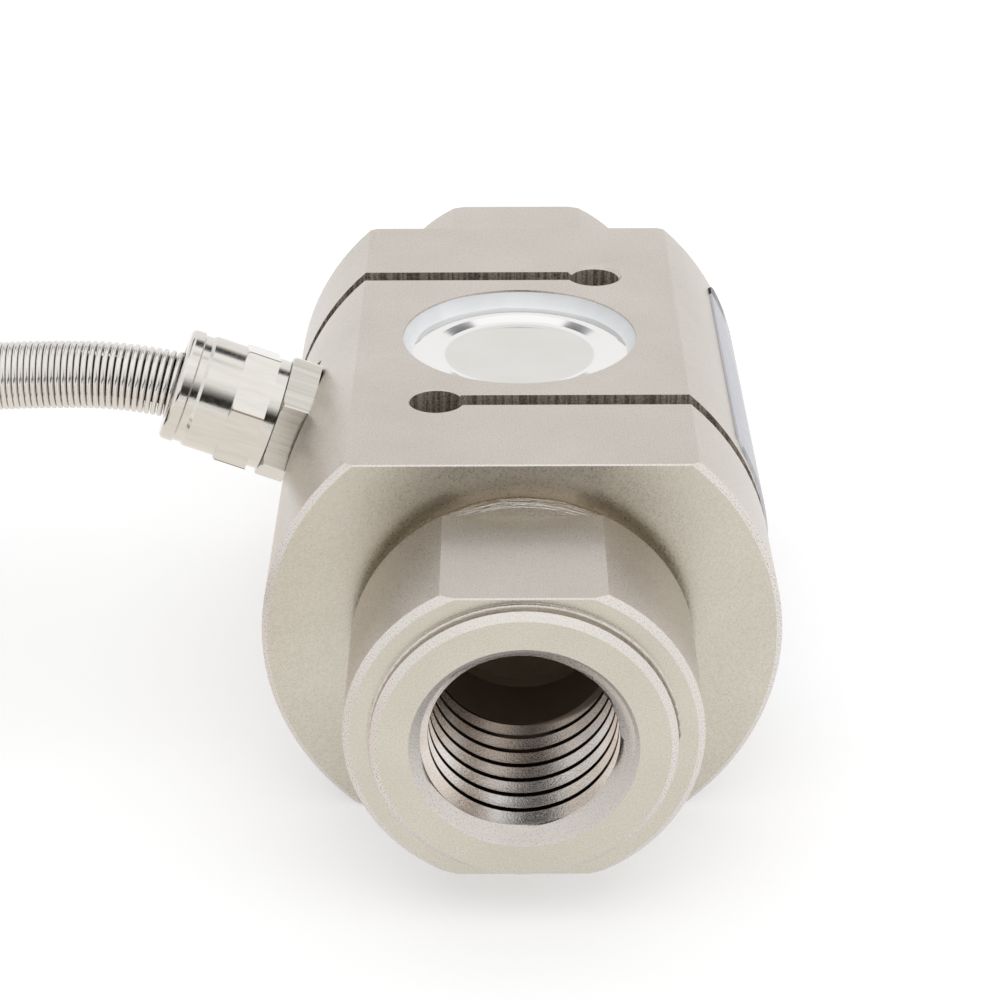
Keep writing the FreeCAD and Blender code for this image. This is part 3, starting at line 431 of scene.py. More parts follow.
def sealant_ring(name, side, node):
    """A ring of three-cornered section, on a grid of turn and slope. Radius and height go from rim to wall
    as powers of the slope, and the foot and crown wander by small sums of waves round the ring."""
    turn = np.linspace(0.0, 2 * np.pi, 240, endpoint=False)[:, None]
    slope = np.linspace(0.0, 1.0, 9)[None, :]
    foot_waves = np.sin(3 * turn + 0.7) + 0.6 * np.sin(7 * turn + 2.1) + 0.4 * np.sin(13 * turn + 4.0)
    crown_waves = 1.5 + np.sin(5 * turn) + 0.5 * np.sin(11 * turn)
    foot = SEALANT_INNER + SEALANT_WANDER * foot_waves
    crown = axis_height - SEALANT_TOP - SEALANT_SAG * crown_waves
    rim = axis_height - RIM_DROP
    radius = foot + (SEALANT_WALL - foot) * (1 - (1 - slope) ** 1.25)
    height = rim + (crown - rim) * slope ** 1.3
    back = np.ones_like(turn)
    under = (rim - SEALANT_SAG) * back
    radius = np.hstack([radius, SEALANT_WALL * back, foot + SEALANT_TUCK])
    height = np.hstack([height, under, under])
    points = np.stack([radius * np.cos(turn), radius * np.sin(turn), axis_height + side * height], axis=-1)
    piece = closed_mesh(name, points, grid_faces(*radius.shape, ring_rows=True, ring_columns=True))
    piece.data.materials.append(white_sealant)
    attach(piece, "root")
    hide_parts(node)


sealant_ring("sealant_top_ring", 1, "sealant_top")
sealant_ring("sealant_bottom_ring", -1, "sealant_bottom")


# --- Nameplate ------------------------------------------------------------------------------------
# Thin brushed aluminium plate rolled to the round side and glued on. It is left without words, with
# only a dark printed field in its rear upper corner.

FIELD_ALONG = (30.8 * MM, 35.2 * MM)
FIELD_ANGLE = (math.radians(20.5), math.radians(31))

plate_metal, tree, shader, place = new_finish("plate_metal", Metallic=0.5, Specular_IOR_Level=0.1,
                                              Specular_Tint=(0.5, 0.5, 0.53, 1.0))
parts = add(tree, "SeparateXYZ", {"Vector": place})
above = work_out(tree, "SUBTRACT", parts.outputs["Z"], axis_height)
round_angle = work_out(tree, "ARCTAN2", above, parts.outputs["X"])
brushed = noise(tree, place, 1.2, detail=3.0, squeeze=(1.0, 0.04, 1.0))
bare = shades(tree, brushed, (0.3, tone(212, 213, 219)), (0.7, tone(222, 224, 230)))
field = product(tree, inside(tree, parts.outputs["Y"], *FIELD_ALONG, SOFT_EDGE),
                inside(tree, round_angle, *FIELD_ANGLE, 0.004))
feed(tree, shader,
     Base_Color=mixed(tree, field, bare, tone(48, 52, 60)),
     Roughness=between(tree, brushed, 0.16, 0.26, 0.3, 0.7),
     Normal=relief(tree, brushed, 0.002))
dress("nameplate", plate_metal)


# --- Cable gland ----------------------------------------------------------------------------------
# Nickel plated brass: a body with a hexagon, and a nut whose long ferrule holds the sprung hose.
# The hexagons keep the fine lines of drawn bar; the turned parts are polished.

GLAND_SLOPE = math.radians(20.7)
HEX_EDGE = 7.7 * MM
NUT_CORNER = math.radians(41.5)
BODY_CORNER = math.radians(23.9)


def along_gland(tree, place, per_mm, drawn_out):
    """Cloudy lines along the gland's axis, so many a millimetre across it and drawn out so many times."""
    turned = add(tree, "Mapping", {"Vector": place, "Rotation": (0.0, GLAND_SLOPE, 0.0),
                                   "Scale": (drawn_out, 1.0, 1.0)}, vector_type="TEXTURE").outputs["Vector"]
    return noise(tree, turned, per_mm, detail=2.0, roughness=0.6)


def hexagon_edges(tree, place, first):
    """One along the corners of a hexagon on the gland's axis. The angle round the axis, less the first
    corner's, counts in sixths of a turn, and only what stands out beyond the round parts is a corner."""
    parts = add(tree, "SeparateXYZ", {"Vector": place})
    above = work_out(tree, "SUBTRACT", parts.outputs["Z"], axis_height)
    square_to_axis = work_out(tree, "ADD", product(tree, parts.outputs["X"], math.sin(GLAND_SLOPE)),
                              product(tree, above, math.cos(GLAND_SLOPE)))
    angle = work_out(tree, "ARCTAN2", square_to_axis, parts.outputs["Y"])
    from_corner = work_out(tree, "SUBTRACT", angle, first)
    sixths = work_out(tree, "PINGPONG", from_corner, math.radians(30))
    reach = reach_from(tree, square_to_axis, parts.outputs["Y"])
    return product(tree, between(tree, sixths, 1.0, 0.0, 0.008, 0.02),
                   between(tree, reach, 0.0, 1.0, HEX_EDGE, HEX_EDGE + SOFT_EDGE))


drawn_nickel, tree, shader, place = new_finish("drawn_nickel", Metallic=1.0)
lines = along_gland(tree, place, 1.8, 60.0)
drawn = shades(tree, lines, (0.3, tone(188, 184, 175)), (0.7, tone(214, 211, 204)))
# painted highlight: the hexagon's corners are painted bright where its rounded edges would catch the light
feed(tree, shader,
     Base_Color=mixed(tree, hexagon_edges(tree, place, BODY_CORNER), drawn, tone(232, 229, 222)),
     Roughness=between(tree, lines, 0.16, 0.26, 0.3, 0.7),
     Normal=relief(tree, lines, 0.012))
gland_body = dress("gland_body", drawn_nickel)

gland_nickel, tree, shader, place = new_finish("gland_nickel", Metallic=1.0)
lines = along_gland(tree, place, 1.2, 8.0)
specks = noise(tree, place, 3.0, detail=3.0, roughness=0.7)
plated = shades(tree, lines, (0.3, tone(214, 210, 203)), (0.7, tone(222, 219, 213)))
# painted reflection: the nut's hexagon corners are painted as dark lines, a dark reflection on its rounded
# edges
feed(tree, shader,
     Base_Color=mixed(tree, hexagon_edges(tree, place, NUT_CORNER), plated, tone(140, 128, 118)),
     Roughness=between(tree, specks, 0.10, 0.18, 0.3, 0.7),
     Normal=relief(tree, specks, 0.004))
gland_nut = dress("gland_nut", gland_nickel)

black_rubber, tree, shader, place = new_finish("black_rubber")
bloom = noise(tree, place, 0.8, detail=4.0)
feed(tree, shader,
     Base_Color=shades(tree, bloom, (0.3, tone(34, 34, 34)), (0.75, tone(56, 55, 53))),
     Roughness=between(tree, bloom, 0.55, 0.75),
     Normal=relief(tree, bloom, 0.02))
gland_seal_ring = dress("gland_seal_ring", black_rubber)
gland_bush = dress("gland_bush", black_rubber)
gland_washer = dress("gland_washer", gland_nickel)


# --- Sprung hose ----------------------------------------------------------------------------------
# Round bright wire wound close on itself as a flexible guard over the cable. It leaves along the
# gland's axis, bends level, then sinks to the ground, its turns a little open next to the ferrule.

WIRE = 0.75 * MM
HOSE_RADIUS = 4.2 * MM
GLAND_REACH = 30.0 * MM
CLOSE_PITCH = 0.71 * MM
EXTRA_PITCH = 0.19 * MM
OPEN_LENGTH = 30.0 * MM
END_GAP = 0.5 * MM


def on_gland_axis(distance):
    """A point on the gland's axis, a distance outside the round side of the bar."""
    reach = GLAND_REACH + distance
    return (-reach * math.cos(GLAND_SLOPE), 0.0, axis_height + reach * math.sin(GLAND_SLOPE))


HOSE_POINTS = [
    on_gland_axis(9.8 * MM),
    on_gland_axis(18.8 * MM),
    (-0.0632, -0.0002, 0.0400),
    (-0.0870, -0.0024, 0.0394),
    (-0.1100, -0.0110, 0.0290),
    (-0.1260, -0.0210, 0.0160),
    (-0.1410, -0.0285, 0.0082),
    (-0.1580, -0.0345, 0.0055),
]


def route_curve(name, points, radius=0.0, fineness=12):
    """A smooth open line drawn towards control points: a curve, with a round section if it has a radius."""
    curve = bpy.data.curves.new(name, "CURVE")
    curve.dimensions = "3D"
    curve.resolution_u = fineness
    curve.bevel_depth = radius
    curve.bevel_resolution = 5
    curve.use_fill_caps = radius > 0
    spline = curve.splines.new("NURBS")
    spline.points.add(len(points) - 1)
    spline.points.foreach_set("co", np.hstack([np.array(points), np.ones((len(points), 1))]).ravel())
    spline.order_u = 3
    spline.use_endpoint_u = True
    return bpy.data.objects.new(name, curve)


def line_of(points, fineness=12):
    """Points along a route's smooth line, with the distance run so far to each."""
    guide = route_curve("guide", points, fineness=fineness)
    bpy.context.scene.collection.objects.link(guide)
    mesh = bpy.data.meshes.new_from_object(guide)
    line = np.empty(len(mesh.vertices) * 3)
    mesh.vertices.foreach_get("co", line)
    line = line.reshape(-1, 3)
    bpy.data.meshes.remove(mesh)
    curve = guide.data
    bpy.data.objects.remove(guide)
    bpy.data.curves.remove(curve)
    run = np.concatenate([[0.0], np.cumsum(np.linalg.norm(np.diff(line, axis=0), axis=1))])
    return line, run


def frames_along(line, run, where):
    """Place, heading, side and up at distances along a line: the side is level, square to the heading."""
    spot = np.stack([np.interp(where, run, line[:, axis]) for axis in range(3)], axis=-1)
    slope = np.gradient(line, run, axis=0)
    heading = np.stack([np.interp(where, run, slope[:, axis]) for axis in range(3)], axis=-1)
    heading /= np.linalg.norm(heading, axis=-1, keepdims=True)
    side = np.cross(heading, (0.0, 0.0, 1.0))
    side /= np.linalg.norm(side, axis=-1, keepdims=True)
    return spot, heading, side, np.cross(side, heading)


def squared_off(wave, power):
    """A wave drawn nearer to a square one: its sign times its size raised to a power below one."""
    return np.sign(wave) * np.abs(wave) ** power


def wound_wire(line, run):
    """Wire of rounded flat section wound on a line, on a grid of turns and ring. The turns count up by one
    over each pitch, which shrinks to the close one away from the ferrule. The wire's ring lies in the plane
    of its radius and the heading, and both its waves are squared off, so its outer side is flatter."""
    per_turn = 22
    around = 10
    fine = np.linspace(END_GAP, run[-1] - END_GAP, 4000)
    opened = np.clip(1 - (fine - END_GAP) / OPEN_LENGTH, 0.0, 1.0)
    pitch = CLOSE_PITCH + EXTRA_PITCH * opened
    count = np.concatenate([[0.0], np.cumsum(np.diff(fine) / pitch[1:])])
    turns = np.linspace(0.0, count[-1], int(count[-1] * per_turn))
    spot, heading, side, up = frames_along(line, run, np.interp(turns, count, fine))
    angle = (2 * np.pi * turns)[:, None]
    outward = side * np.cos(angle) + up * np.sin(angle)
    ring = np.linspace(0.0, 2 * np.pi, around, endpoint=False)[None, :, None]
    thick = np.full((len(turns), 1, 1), WIRE / 2)
    thick[[0, -1]] = 0.0
    centre = (HOSE_RADIUS - WIRE / 2) * outward[:, None, :] + spot[:, None, :]
    rise = squared_off(np.cos(ring), 0.6)
    width = 0.93 * squared_off(np.sin(ring), 0.7)
    points = centre + thick * (rise * outward[:, None, :] + width * heading[:, None, :])
    return points, grid_faces(len(turns), around, ring_columns=True)


hose_wire, tree, shader, place = new_finish("hose_wire", Metallic=1.0)
drawn = noise(tree, place, 2.0, detail=3.0)
clouds = noise(tree, place, 0.15, detail=3.0)
feed(tree, shader,
     Base_Color=shades(tree, clouds, (0.3, tone(217, 213, 208)), (0.7, tone(227, 224, 220))),
     Roughness=between(tree, drawn, 0.14, 0.22, 0.3, 0.7),
     Normal=relief(tree, drawn, 0.002))

hose_line, hose_run = line_of(HOSE_POINTS)
spring_hose = closed_mesh("spring_hose", *wound_wire(hose_line, hose_run), smooth_to=60)
spring_hose.data.materials.append(hose_wire)
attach(spring_hose, "root")
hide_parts("spring_guard")

crimped_nickel, tree, shader, place = new_finish("crimped_nickel", Metallic=1.0)
rubbed = noise(tree, place, 1.5, detail=4.0)
feed(tree, shader,
     Base_Color=shades(tree, rubbed, (0.3, tone(205, 200, 192)), (0.7, tone(226, 222, 216))),
     Roughness=between(tree, rubbed, 0.18, 0.34, 0.3, 0.7),
     Normal=relief(tree, rubbed, 0.006))
guard_end_sleeve = dress("guard_end_sleeve", crimped_nickel)


# --- Cable ----------------------------------------------------------------------------------------
# Screened four-core cable, 5 mm, in a dark PVC jacket. It runs inside the hose, round the outside of
# the coil, lies in turns a diameter apart and leaves the top of the coil for its bare leads.

CABLE_RADIUS = 2.5 * MM
COIL_CENTRE = (-0.1440, 0.0205)
COIL_COLUMNS = (36.5 * MM, 31.5 * MM, 26.5 * MM, 21.5 * MM)
COIL_FLOOR = 1.15 * MM
COIL_IN = math.radians(121.3)
COIL_OUT = math.radians(20.0)
POINTS_A_TURN = 16
LAST_PLACE = 15
FIRST_MOVE = 0.83
MOVE_SHARE = 0.14
CLIMB_SWING = 1.2 * MM
LEAD_IN = 3.5 * MM

CABLE_START = [on_gland_axis(4.45 * MM)] + HOSE_POINTS[1:-1] + [
    (-0.1700, -0.03874, 0.00359),
    (-0.1883, -0.0362, 0.0026),
    (-0.2016, -0.0233, 0.0026),
    (-0.2052, -0.0047, 0.0026),
    (-0.1987, 0.0215, 0.0026),
    (-0.1844, 0.0444, 0.0026),
    (-0.1656, 0.0560, 0.0026),
]
CABLE_TAIL = [
    (-0.1029, 0.0144, 0.0160),
    (-0.0980, 0.0, 0.0128),
    (-0.0965, -0.0160, 0.0072),
    (-0.1000, -0.0300, 0.0036),
    (-0.1105, -0.0425, 0.0028),
    (-0.1250, -0.0474, 0.0030),
    (-0.1395, -0.0487, 0.0031),
]


def ease(share):
    """A share from 0 to 1 with a level start and end: three squares less two cubes."""
    share = np.clip(share, 0.0, 1.0)
    return share * share * (3 - 2 * share)


def coil_turns():
    """Control points of the coil, clockwise from above. The cable lies in sixteen places, four across and
    four up, run in and out by turns, and moves to the next place, eased, over a seventh of each turn. Where
    it climbs it swings by a squared half-wave, and it comes in from outside over the first thirty degrees."""
    full = 2 * math.pi
    widen = 1 / math.cos(math.pi / POINTS_A_TURN) ** 0.5
    whole = LAST_PLACE * full + COIL_IN - COIL_OUT
    turned = np.arange(1, int(whole / full * POINTS_A_TURN) + 1) * (full / POINTS_A_TURN)
    order = [(column if row % 2 == 0 else 3 - column, row) for row in range(4) for column in range(4)]
    across = np.array([COIL_COLUMNS[column] for column, row in order])
    up = np.array([COIL_FLOOR + CABLE_RADIUS * (1 + 2 * row) for column, row in order])
    moves = turned / full - FIRST_MOVE + 1
    place_now = np.clip(np.floor(moves), 0, LAST_PLACE).astype(int)
    place_next = np.clip(place_now + 1, 0, LAST_PLACE)
    share = ease((moves % 1.0 - (1 - MOVE_SHARE)) / MOVE_SHARE)
    radius = across[place_now] + (across[place_next] - across[place_now]) * share
    height = up[place_now] + (up[place_next] - up[place_now]) * share
    climbing = (up[place_next] > up[place_now]) * np.sin(np.pi * share) ** 2
    radius += CLIMB_SWING * climbing * np.where(across[place_now] > COIL_COLUMNS[1], 1.0, -1.0)
    radius += LEAD_IN * (1 - ease(turned / math.radians(30)))
    angle = COIL_IN - turned
    points = np.stack([COIL_CENTRE[0] + widen * radius * np.cos(angle),
                       COIL_CENTRE[1] + widen * radius * np.sin(angle), height], axis=-1)
    return [tuple(point) for point in points.tolist()]


CABLE_POINTS = CABLE_START + coil_turns() + CABLE_TAIL

cable_jacket, tree, shader, place = new_finish("cable_jacket", IOR=1.5)
drag = noise(tree, place, 0.9, detail=4.0, roughness=0.6)
feed(tree, shader,
     Base_Color=shades(tree, drag, (0.3, tone(62, 63, 66)), (0.75, tone(84, 85, 88))),
     Roughness=between(tree, drag, 0.42, 0.58),
     Normal=relief(tree, drag, 0.02))
cable = route_curve("signal_cable_run", CABLE_POINTS, radius=CABLE_RADIUS, fineness=5)
bpy.context.scene.collection.objects.link(cable)
cable.data.materials.append(cable_jacket)
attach(cable, "root")
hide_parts("signal_cable", "cable_coil", "cable_tail")
cable_run = line_of(CABLE_POINTS, fineness=5)[1]


# --- Sleeve, ties and leads -----------------------------------------------------------------------
# A shrunk sleeve closes the end of the jacket, and two nylon ties hold the coil. Four insulated
# leads and the screen's drain wire fan out on the ground, each bared and tinned at its tip.

shrunk_sleeve, tree, shader, place = new_finish("shrunk_sleeve", IOR=1.5)
pulled = noise(tree, place, 0.7, detail=3.0)
feed(tree, shader,
     Base_Color=shades(tree, pulled, (0.3, tone(30, 30, 31)), (0.75, tone(48, 48, 49))),
     Roughness=between(tree, pulled, 0.34, 0.5),
     Normal=relief(tree, pulled, 0.04))
cable_end_sleeve = dress("cable_end_sleeve", shrunk_sleeve)

TOOTH_PITCH = 1.2 * MM
tie_nylon, tree, shader, place = new_finish("tie_nylon", IOR=1.53)
moulded = noise(tree, place, 0.6, detail=4.0)
parts = add(tree, "SeparateXYZ", {"Vector": place})
teeth = work_out(tree, "SINE", product(tree, parts.outputs["Z"], 2 * math.pi / TOOTH_PITCH))
feed(tree, shader,
     Base_Color=shades(tree, moulded, (0.3, tone(34, 34, 35)), (0.75, tone(54, 54, 55))),
     Roughness=between(tree, moulded, 0.38, 0.52),
     Normal=relief(tree, between(tree, teeth, 0.0, 1.0, -1.0, 1.0), 0.08,
                   relief(tree, moulded, 0.02)))
cable_ties = [dress("cable_tie_1", tie_nylon), dress("cable_tie_2", tie_nylon)]

# each lead: its name, its place across and above in the jacket's end, its spread at the tip, its colour
LEADS = [
    ("red", -0.75, 0.75, -6.5, tone(178, 36, 32)),
    ("black", -0.75, -0.75, -2.6, tone(36, 36, 37)),
    ("green", 0.75, -0.75, 2.6, tone(34, 128, 62)),
    ("white", 0.75, 0.75, 6.5, tone(226, 225, 220)),
    ("shield", 0.0, 1.95, 0.4, None),
]
LEAD_AHEAD = np.array([[0.0], [6.0], [12.0], [21.0], [33.0]]) * MM
LEAD_FAN = np.array([[0.0], [0.0], [0.2], [0.5], [1.0]])
LEAD_RADIUS = 0.6 * MM
STRANDS_RADIUS = 0.36 * MM
DRAIN_RADIUS = 0.42 * MM
STRAND_STEP = 0.35 * MM
STRAND_LAY = 5 * MM
STRAND_SWELL = 0.09
STRANDS = 7
BARED = 6 * MM
HIDDEN = 1 * MM
GROUND = 0.7 * MM
GROUND_GAP = 0.1 * MM
tail_end = np.array(CABLE_TAIL[-1])
tail_ahead = tail_end - np.array(CABLE_TAIL[-2])
tail_ahead /= np.linalg.norm(tail_ahead)
tail_across = np.cross((0.0, 0.0, 1.0), tail_ahead)
tail_across /= np.linalg.norm(tail_across)
tail_up = np.cross(tail_ahead, tail_across)


def insulation(name, colour):
    """Extruded insulation in one colour, faintly cloudy and rubbed."""
    finish, tree, shader, place = new_finish(name, IOR=1.5)
    rubbed = noise(tree, place, 1.1, detail=3.0)
    darker = tuple(0.8 * part for part in colour[:3]) + (1.0,)
    feed(tree, shader,
         Base_Color=shades(tree, rubbed, (0.3, darker), (0.7, colour)),
         Roughness=between(tree, rubbed, 0.34, 0.48),
         Normal=relief(tree, rubbed, 0.01))
    return finish


tinned_copper, tree, shader, place = new_finish("tinned_copper", Metallic=1.0)
tinning = noise(tree, place, 2.5, detail=3.0)
feed(tree, shader,
     Base_Color=shades(tree, tinning, (0.3, tone(196, 194, 190)), (0.7, tone(222, 221, 218))),
     Roughness=between(tree, tinning, 0.24, 0.4, 0.3, 0.7),
     Normal=relief(tree, tinning, 0.01))


def lead_tube(name, line, run, start, end, radius, finish, strands=0):
    """A round section carried along a line. Near each end the radius falls by a quarter circle to eight
    tenths. A bared end is twisted strands: the radius swells and sinks once for each strand, and turns
    with the distance run."""
    where = np.linspace(start, end, max(int((end - start) / STRAND_STEP), 8))
    spot, _, side, up = frames_along(line, run, where)
    around = 8 * strands if strands else 20
    ring = np.linspace(0.0, 2 * np.pi, around, endpoint=False)[None, :]
    share = ((where - start) / (end - start))[:, None]
    from_end = np.minimum(share, 1 - share) * (end - start)
    turned_in = 1 - np.clip(from_end / (0.25 * radius), 0, 1)
    reach = radius * np.sqrt(np.clip(1 - turned_in ** 2, 0.0, 1.0) * 0.36 + 0.64)
    if strands:
        twist = 2 * np.pi * where[:, None] / STRAND_LAY
        reach = reach * (1 + STRAND_SWELL * np.cos(strands * (ring - twist)))
    reach = reach * np.ones_like(ring)
    reach = np.vstack([0 * ring, reach, 0 * ring])[..., None]
    index = np.concatenate([[0], np.arange(len(where)), [len(where) - 1]])
    outward = (np.cos(ring)[..., None] * side[index][:, None, :]
               + np.sin(ring)[..., None] * up[index][:, None, :])
    points = spot[index][:, None, :] + reach * outward
    piece = closed_mesh(name, points, grid_faces(len(index), around, ring_columns=True), smooth_to=50)
    piece.data.materials.append(finish)
    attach(piece, "root")
    return piece


lead_pieces = []
insulations = {}
for colour_name, across, above, spread, colour in LEADS:
    root = tail_end + MM * (across * tail_across + above * tail_up)
    points = root + LEAD_AHEAD * tail_ahead + LEAD_FAN * (MM * spread * tail_across)
    points[3, 2] = GROUND + GROUND_GAP
    points[4, 2] = GROUND
    line, run = line_of(points)
    if colour is None:
        drain = lead_tube("drain_wire", line, run, 0.0, run[-1], DRAIN_RADIUS, tinned_copper, strands=STRANDS)
        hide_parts("lead_shield")
        lead_pieces.append(drain)
        continue
    insulations[colour_name] = insulation(colour_name + "_insulation", colour)
    bare_from = run[-1] - BARED
    jacket = lead_tube(colour_name + "_lead", line, run, 0.0, bare_from, LEAD_RADIUS,
                       insulations[colour_name])
    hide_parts("lead_" + colour_name)
    bared = lead_tube(colour_name + "_lead_tip", line, run, bare_from - HIDDEN, run[-1], STRANDS_RADIUS,
                      tinned_copper, strands=STRANDS)
    lead_pieces += [jacket, bared]

inner_cores = [dress("core_" + colour_name, insulations[colour_name])
               for colour_name in ("red", "black", "green", "white")]


# --- Gauges and bridge board ----------------------------------------------------------------------
# Inside the sealed cavity four foil gauges are glued to the web at 45 degrees, two above and two
# below, and a small board beside them carries the bridge's trimming resistors.

GAUGE_TURNS = {"strain_gauge_1": 45, "strain_gauge_2": -45, "strain_gauge_3": 45, "strain_gauge_4": -45}
GRID_LENGTH = 3.2 * MM
GRID_WIDTH = 2.6 * MM
GRID_EDGE = 0.03 * MM
FOIL_PITCH = 0.26 * MM


def gauge_finish(node, turn):
    """Amber film with a foil grid: parallel lines inside a window centred on the gauge, turned with it."""
    finish, tree, shader, place = new_finish("gauge_film_" + node[-1], IOR=1.6)
    low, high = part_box(node)
    centre = tuple((low[axis] + high[axis]) / 2 for axis in range(3))
    turned = (0.0, 0.0, math.radians(turn))
    own = add(tree, "Mapping", {"Vector": place, "Location": centre, "Rotation": turned},
              vector_type="TEXTURE").outputs["Vector"]
    parts = add(tree, "SeparateXYZ", {"Vector": own})
    window = product(tree, inside(tree, parts.outputs["X"], -GRID_LENGTH / 2, GRID_LENGTH / 2, GRID_EDGE),
                     inside(tree, parts.outputs["Y"], -GRID_WIDTH / 2, GRID_WIDTH / 2, GRID_EDGE))
    lines = work_out(tree, "SINE", product(tree, parts.outputs["Y"], 2 * math.pi / FOIL_PITCH))
    foil = product(tree, window, between(tree, lines, 0.0, 1.0, -0.2, 0.2))
    clouds = noise(tree, place, 0.8, detail=3.0)
    film = shades(tree, clouds, (0.3, tone(176, 118, 48)), (0.7, tone(204, 146, 70)))
    feed(tree, shader,
         Base_Color=mixed(tree, foil, film, tone(150, 140, 124)),
         Metallic=product(tree, foil, 0.8),
         Roughness=between(tree, clouds, 0.26, 0.4),
         Normal=relief(tree, foil, 0.01))
    return finish


for node, turn in GAUGE_TURNS.items():
    dress(node, gauge_finish(node, turn))

board_green, tree, shader, place = new_finish("board_green", IOR=1.5)
weave = noise(tree, place, 2.2, detail=3.0, squeeze=(1.0, 0.3, 1.0))
pads = add(tree, "TexVoronoi", {"Vector": place, "Scale": 0.5 / MM, "Randomness": 0.15}).outputs["Distance"]
ringed = between(tree, pads, 1.0, 0.0, 0.16, 0.20)
resist = shades(tree, weave, (0.3, tone(22, 92, 50)), (0.7, tone(36, 116, 66)))
feed(tree, shader,
     Base_Color=mixed(tree, ringed, resist, tone(198, 186, 150)),
     Metallic=product(tree, ringed, 0.7),
     Roughness=between(tree, weave, 0.3, 0.45),
     Normal=relief(tree, weave, 0.01))
dress("bridge_board", board_green)

CHIP_CAP = 0.3 * MM
chip_ceramic, tree, shader, place = new_finish("chip_ceramic", IOR=1.5)
fired = noise(tree, place, 3.0, detail=3.0)
parts = add(tree, "SeparateXYZ", {"Vector": place})
chip_low, chip_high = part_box("trim_resistors")
from_side = work_out(tree, "SUBTRACT", parts.outputs["X"], chip_low[0])
from_end = work_out(tree, "PINGPONG", from_side, (chip_high[0] - chip_low[0]) / 2)
capped = between(tree, from_end, 1.0, 0.0, CHIP_CAP - HAIR, CHIP_CAP + HAIR)
feed(tree, shader,
     Base_Color=mixed(tree, capped, shades(tree, fired, (0.3, tone(40, 40, 42)), (0.7, tone(62, 62, 64))),
                      tone(206, 204, 198)),
     Metallic=capped,
     Roughness=between(tree, fired, 0.3, 0.5),
     Normal=relief(tree, fired, 0.01))
dress("trim_resistors", chip_ceramic)


# --- Studio -----------------------------------------------------------------------------------------
# A pale table under large soft lamps in a white room. Cards that only the metal mirrors stand in
# front, overhead and on the table, because polished metal needs something dark to show its roundness.

WHITE = (1.0, 1.0, 1.0, 1.0)
ROOM_GLOW = 0.55
TABLE_GLOW = 0.46
TABLE_DROP = 0.2 * MM


def looked_at(tree):
    """One for rays that look, straight, in a mirror or through glass; nought for rays that gather light."""
    ray = add(tree, "LightPath")
    seen = work_out(tree, "MAXIMUM", ray.outputs["Is Camera Ray"], ray.outputs["Is Glossy Ray"])
    return work_out(tree, "MAXIMUM", seen, ray.outputs["Is Transmission Ray"])


room = bpy.data.worlds.new("white_room")
bpy.context.scene.world = room
room.use_nodes = True
tree = room.node_tree
background = tree.nodes["Background"]
background.inputs["Color"].default_value = WHITE
feed(tree, background, Strength=between(tree, looked_at(tree), ROOM_GLOW, 1.0))


def flat_sheet(name, corners, finish):
    """A flat sheet through four corners, part of the studio."""
    mesh = bpy.data.meshes.new(name)
    mesh.from_pydata(corners, [], [(0, 1, 2, 3)])
    sheet = bpy.data.objects.new(name, mesh)
    bpy.context.scene.collection.objects.link(sheet)
    mesh.materials.append(finish)
    return sheet


table_top, tree, shader = new_finish("pale_table", Base_Color=(0.62, 0.62, 0.62, 1.0), Roughness=0.9,
                                     Specular_IOR_Level=0.0, Emission_Color=WHITE)[:3]
feed(tree, shader, Emission_Strength=product(tree, looked_at(tree), TABLE_GLOW))
table = flat_sheet("table", [(-3, -3, 0), (3, -3, 0), (3, 3, 0), (-3, 3, 0)], table_top)
table.location.z = -TABLE_DROP


def mirrored_card(name, colour, corners, left=0.0, right=0.0, low=0.0, high=0.0):
    """A matt card that only mirroring metal sees: it casts no shadow and takes no light. Each edge can fade
    into the white room over its own share of the card; the shares are multiplied."""
    finish, tree, shader = new_finish(name, Base_Color=(0.0, 0.0, 0.0, 1.0), Specular_IOR_Level=0.0,
                                      Emission_Color=colour + (1.0,), Emission_Strength=1.0)[:3]
    card = flat_sheet(name, corners, finish)
    card.visible_camera = False
    card.visible_diffuse = False
    card.visible_shadow = False
    layer = card.data.uv_layers.new(name="across_card")
    layer.data.foreach_set("uv", [0.0, 0.0, 1.0, 0.0, 1.0, 1.0, 0.0, 1.0])
    spot = add(tree, "SeparateXYZ", {"Vector": add(tree, "UVMap", uv_map="across_card").outputs["UV"]})
    edges = [between(tree, spot.outputs[axis], 0.0, 1.0, outer, inner)
             for axis, first, last in (("X", left, right), ("Y", low, high))
             for share, outer, inner in ((first, 0.0, first), (last, 1.0, 1.0 - last)) if share]
    if edges:
        feed(tree, shader, Emission_Color=mixed(tree, product(tree, *edges), WHITE, colour + (1.0,)))


def upright(left, right, low, high, away):
    """Corners of an upright card between these sides and heights, a distance in front of the part."""
    return [(left, -away, low), (right, -away, low), (right, -away, high), (left, -away, high)]


def level(height, *spots):
    """Corners of a card laid level at a height, at places across and along."""
    return [(across, along, height) for across, along in spots]


BLACK = (0.020, 0.015, 0.012)
SLATE = (0.025, 0.03, 0.045)
OVERHEAD = 0.9
SLATE_FADE = {"left": 0.08, "right": 0.04, "low": 0.06, "high": 0.04}

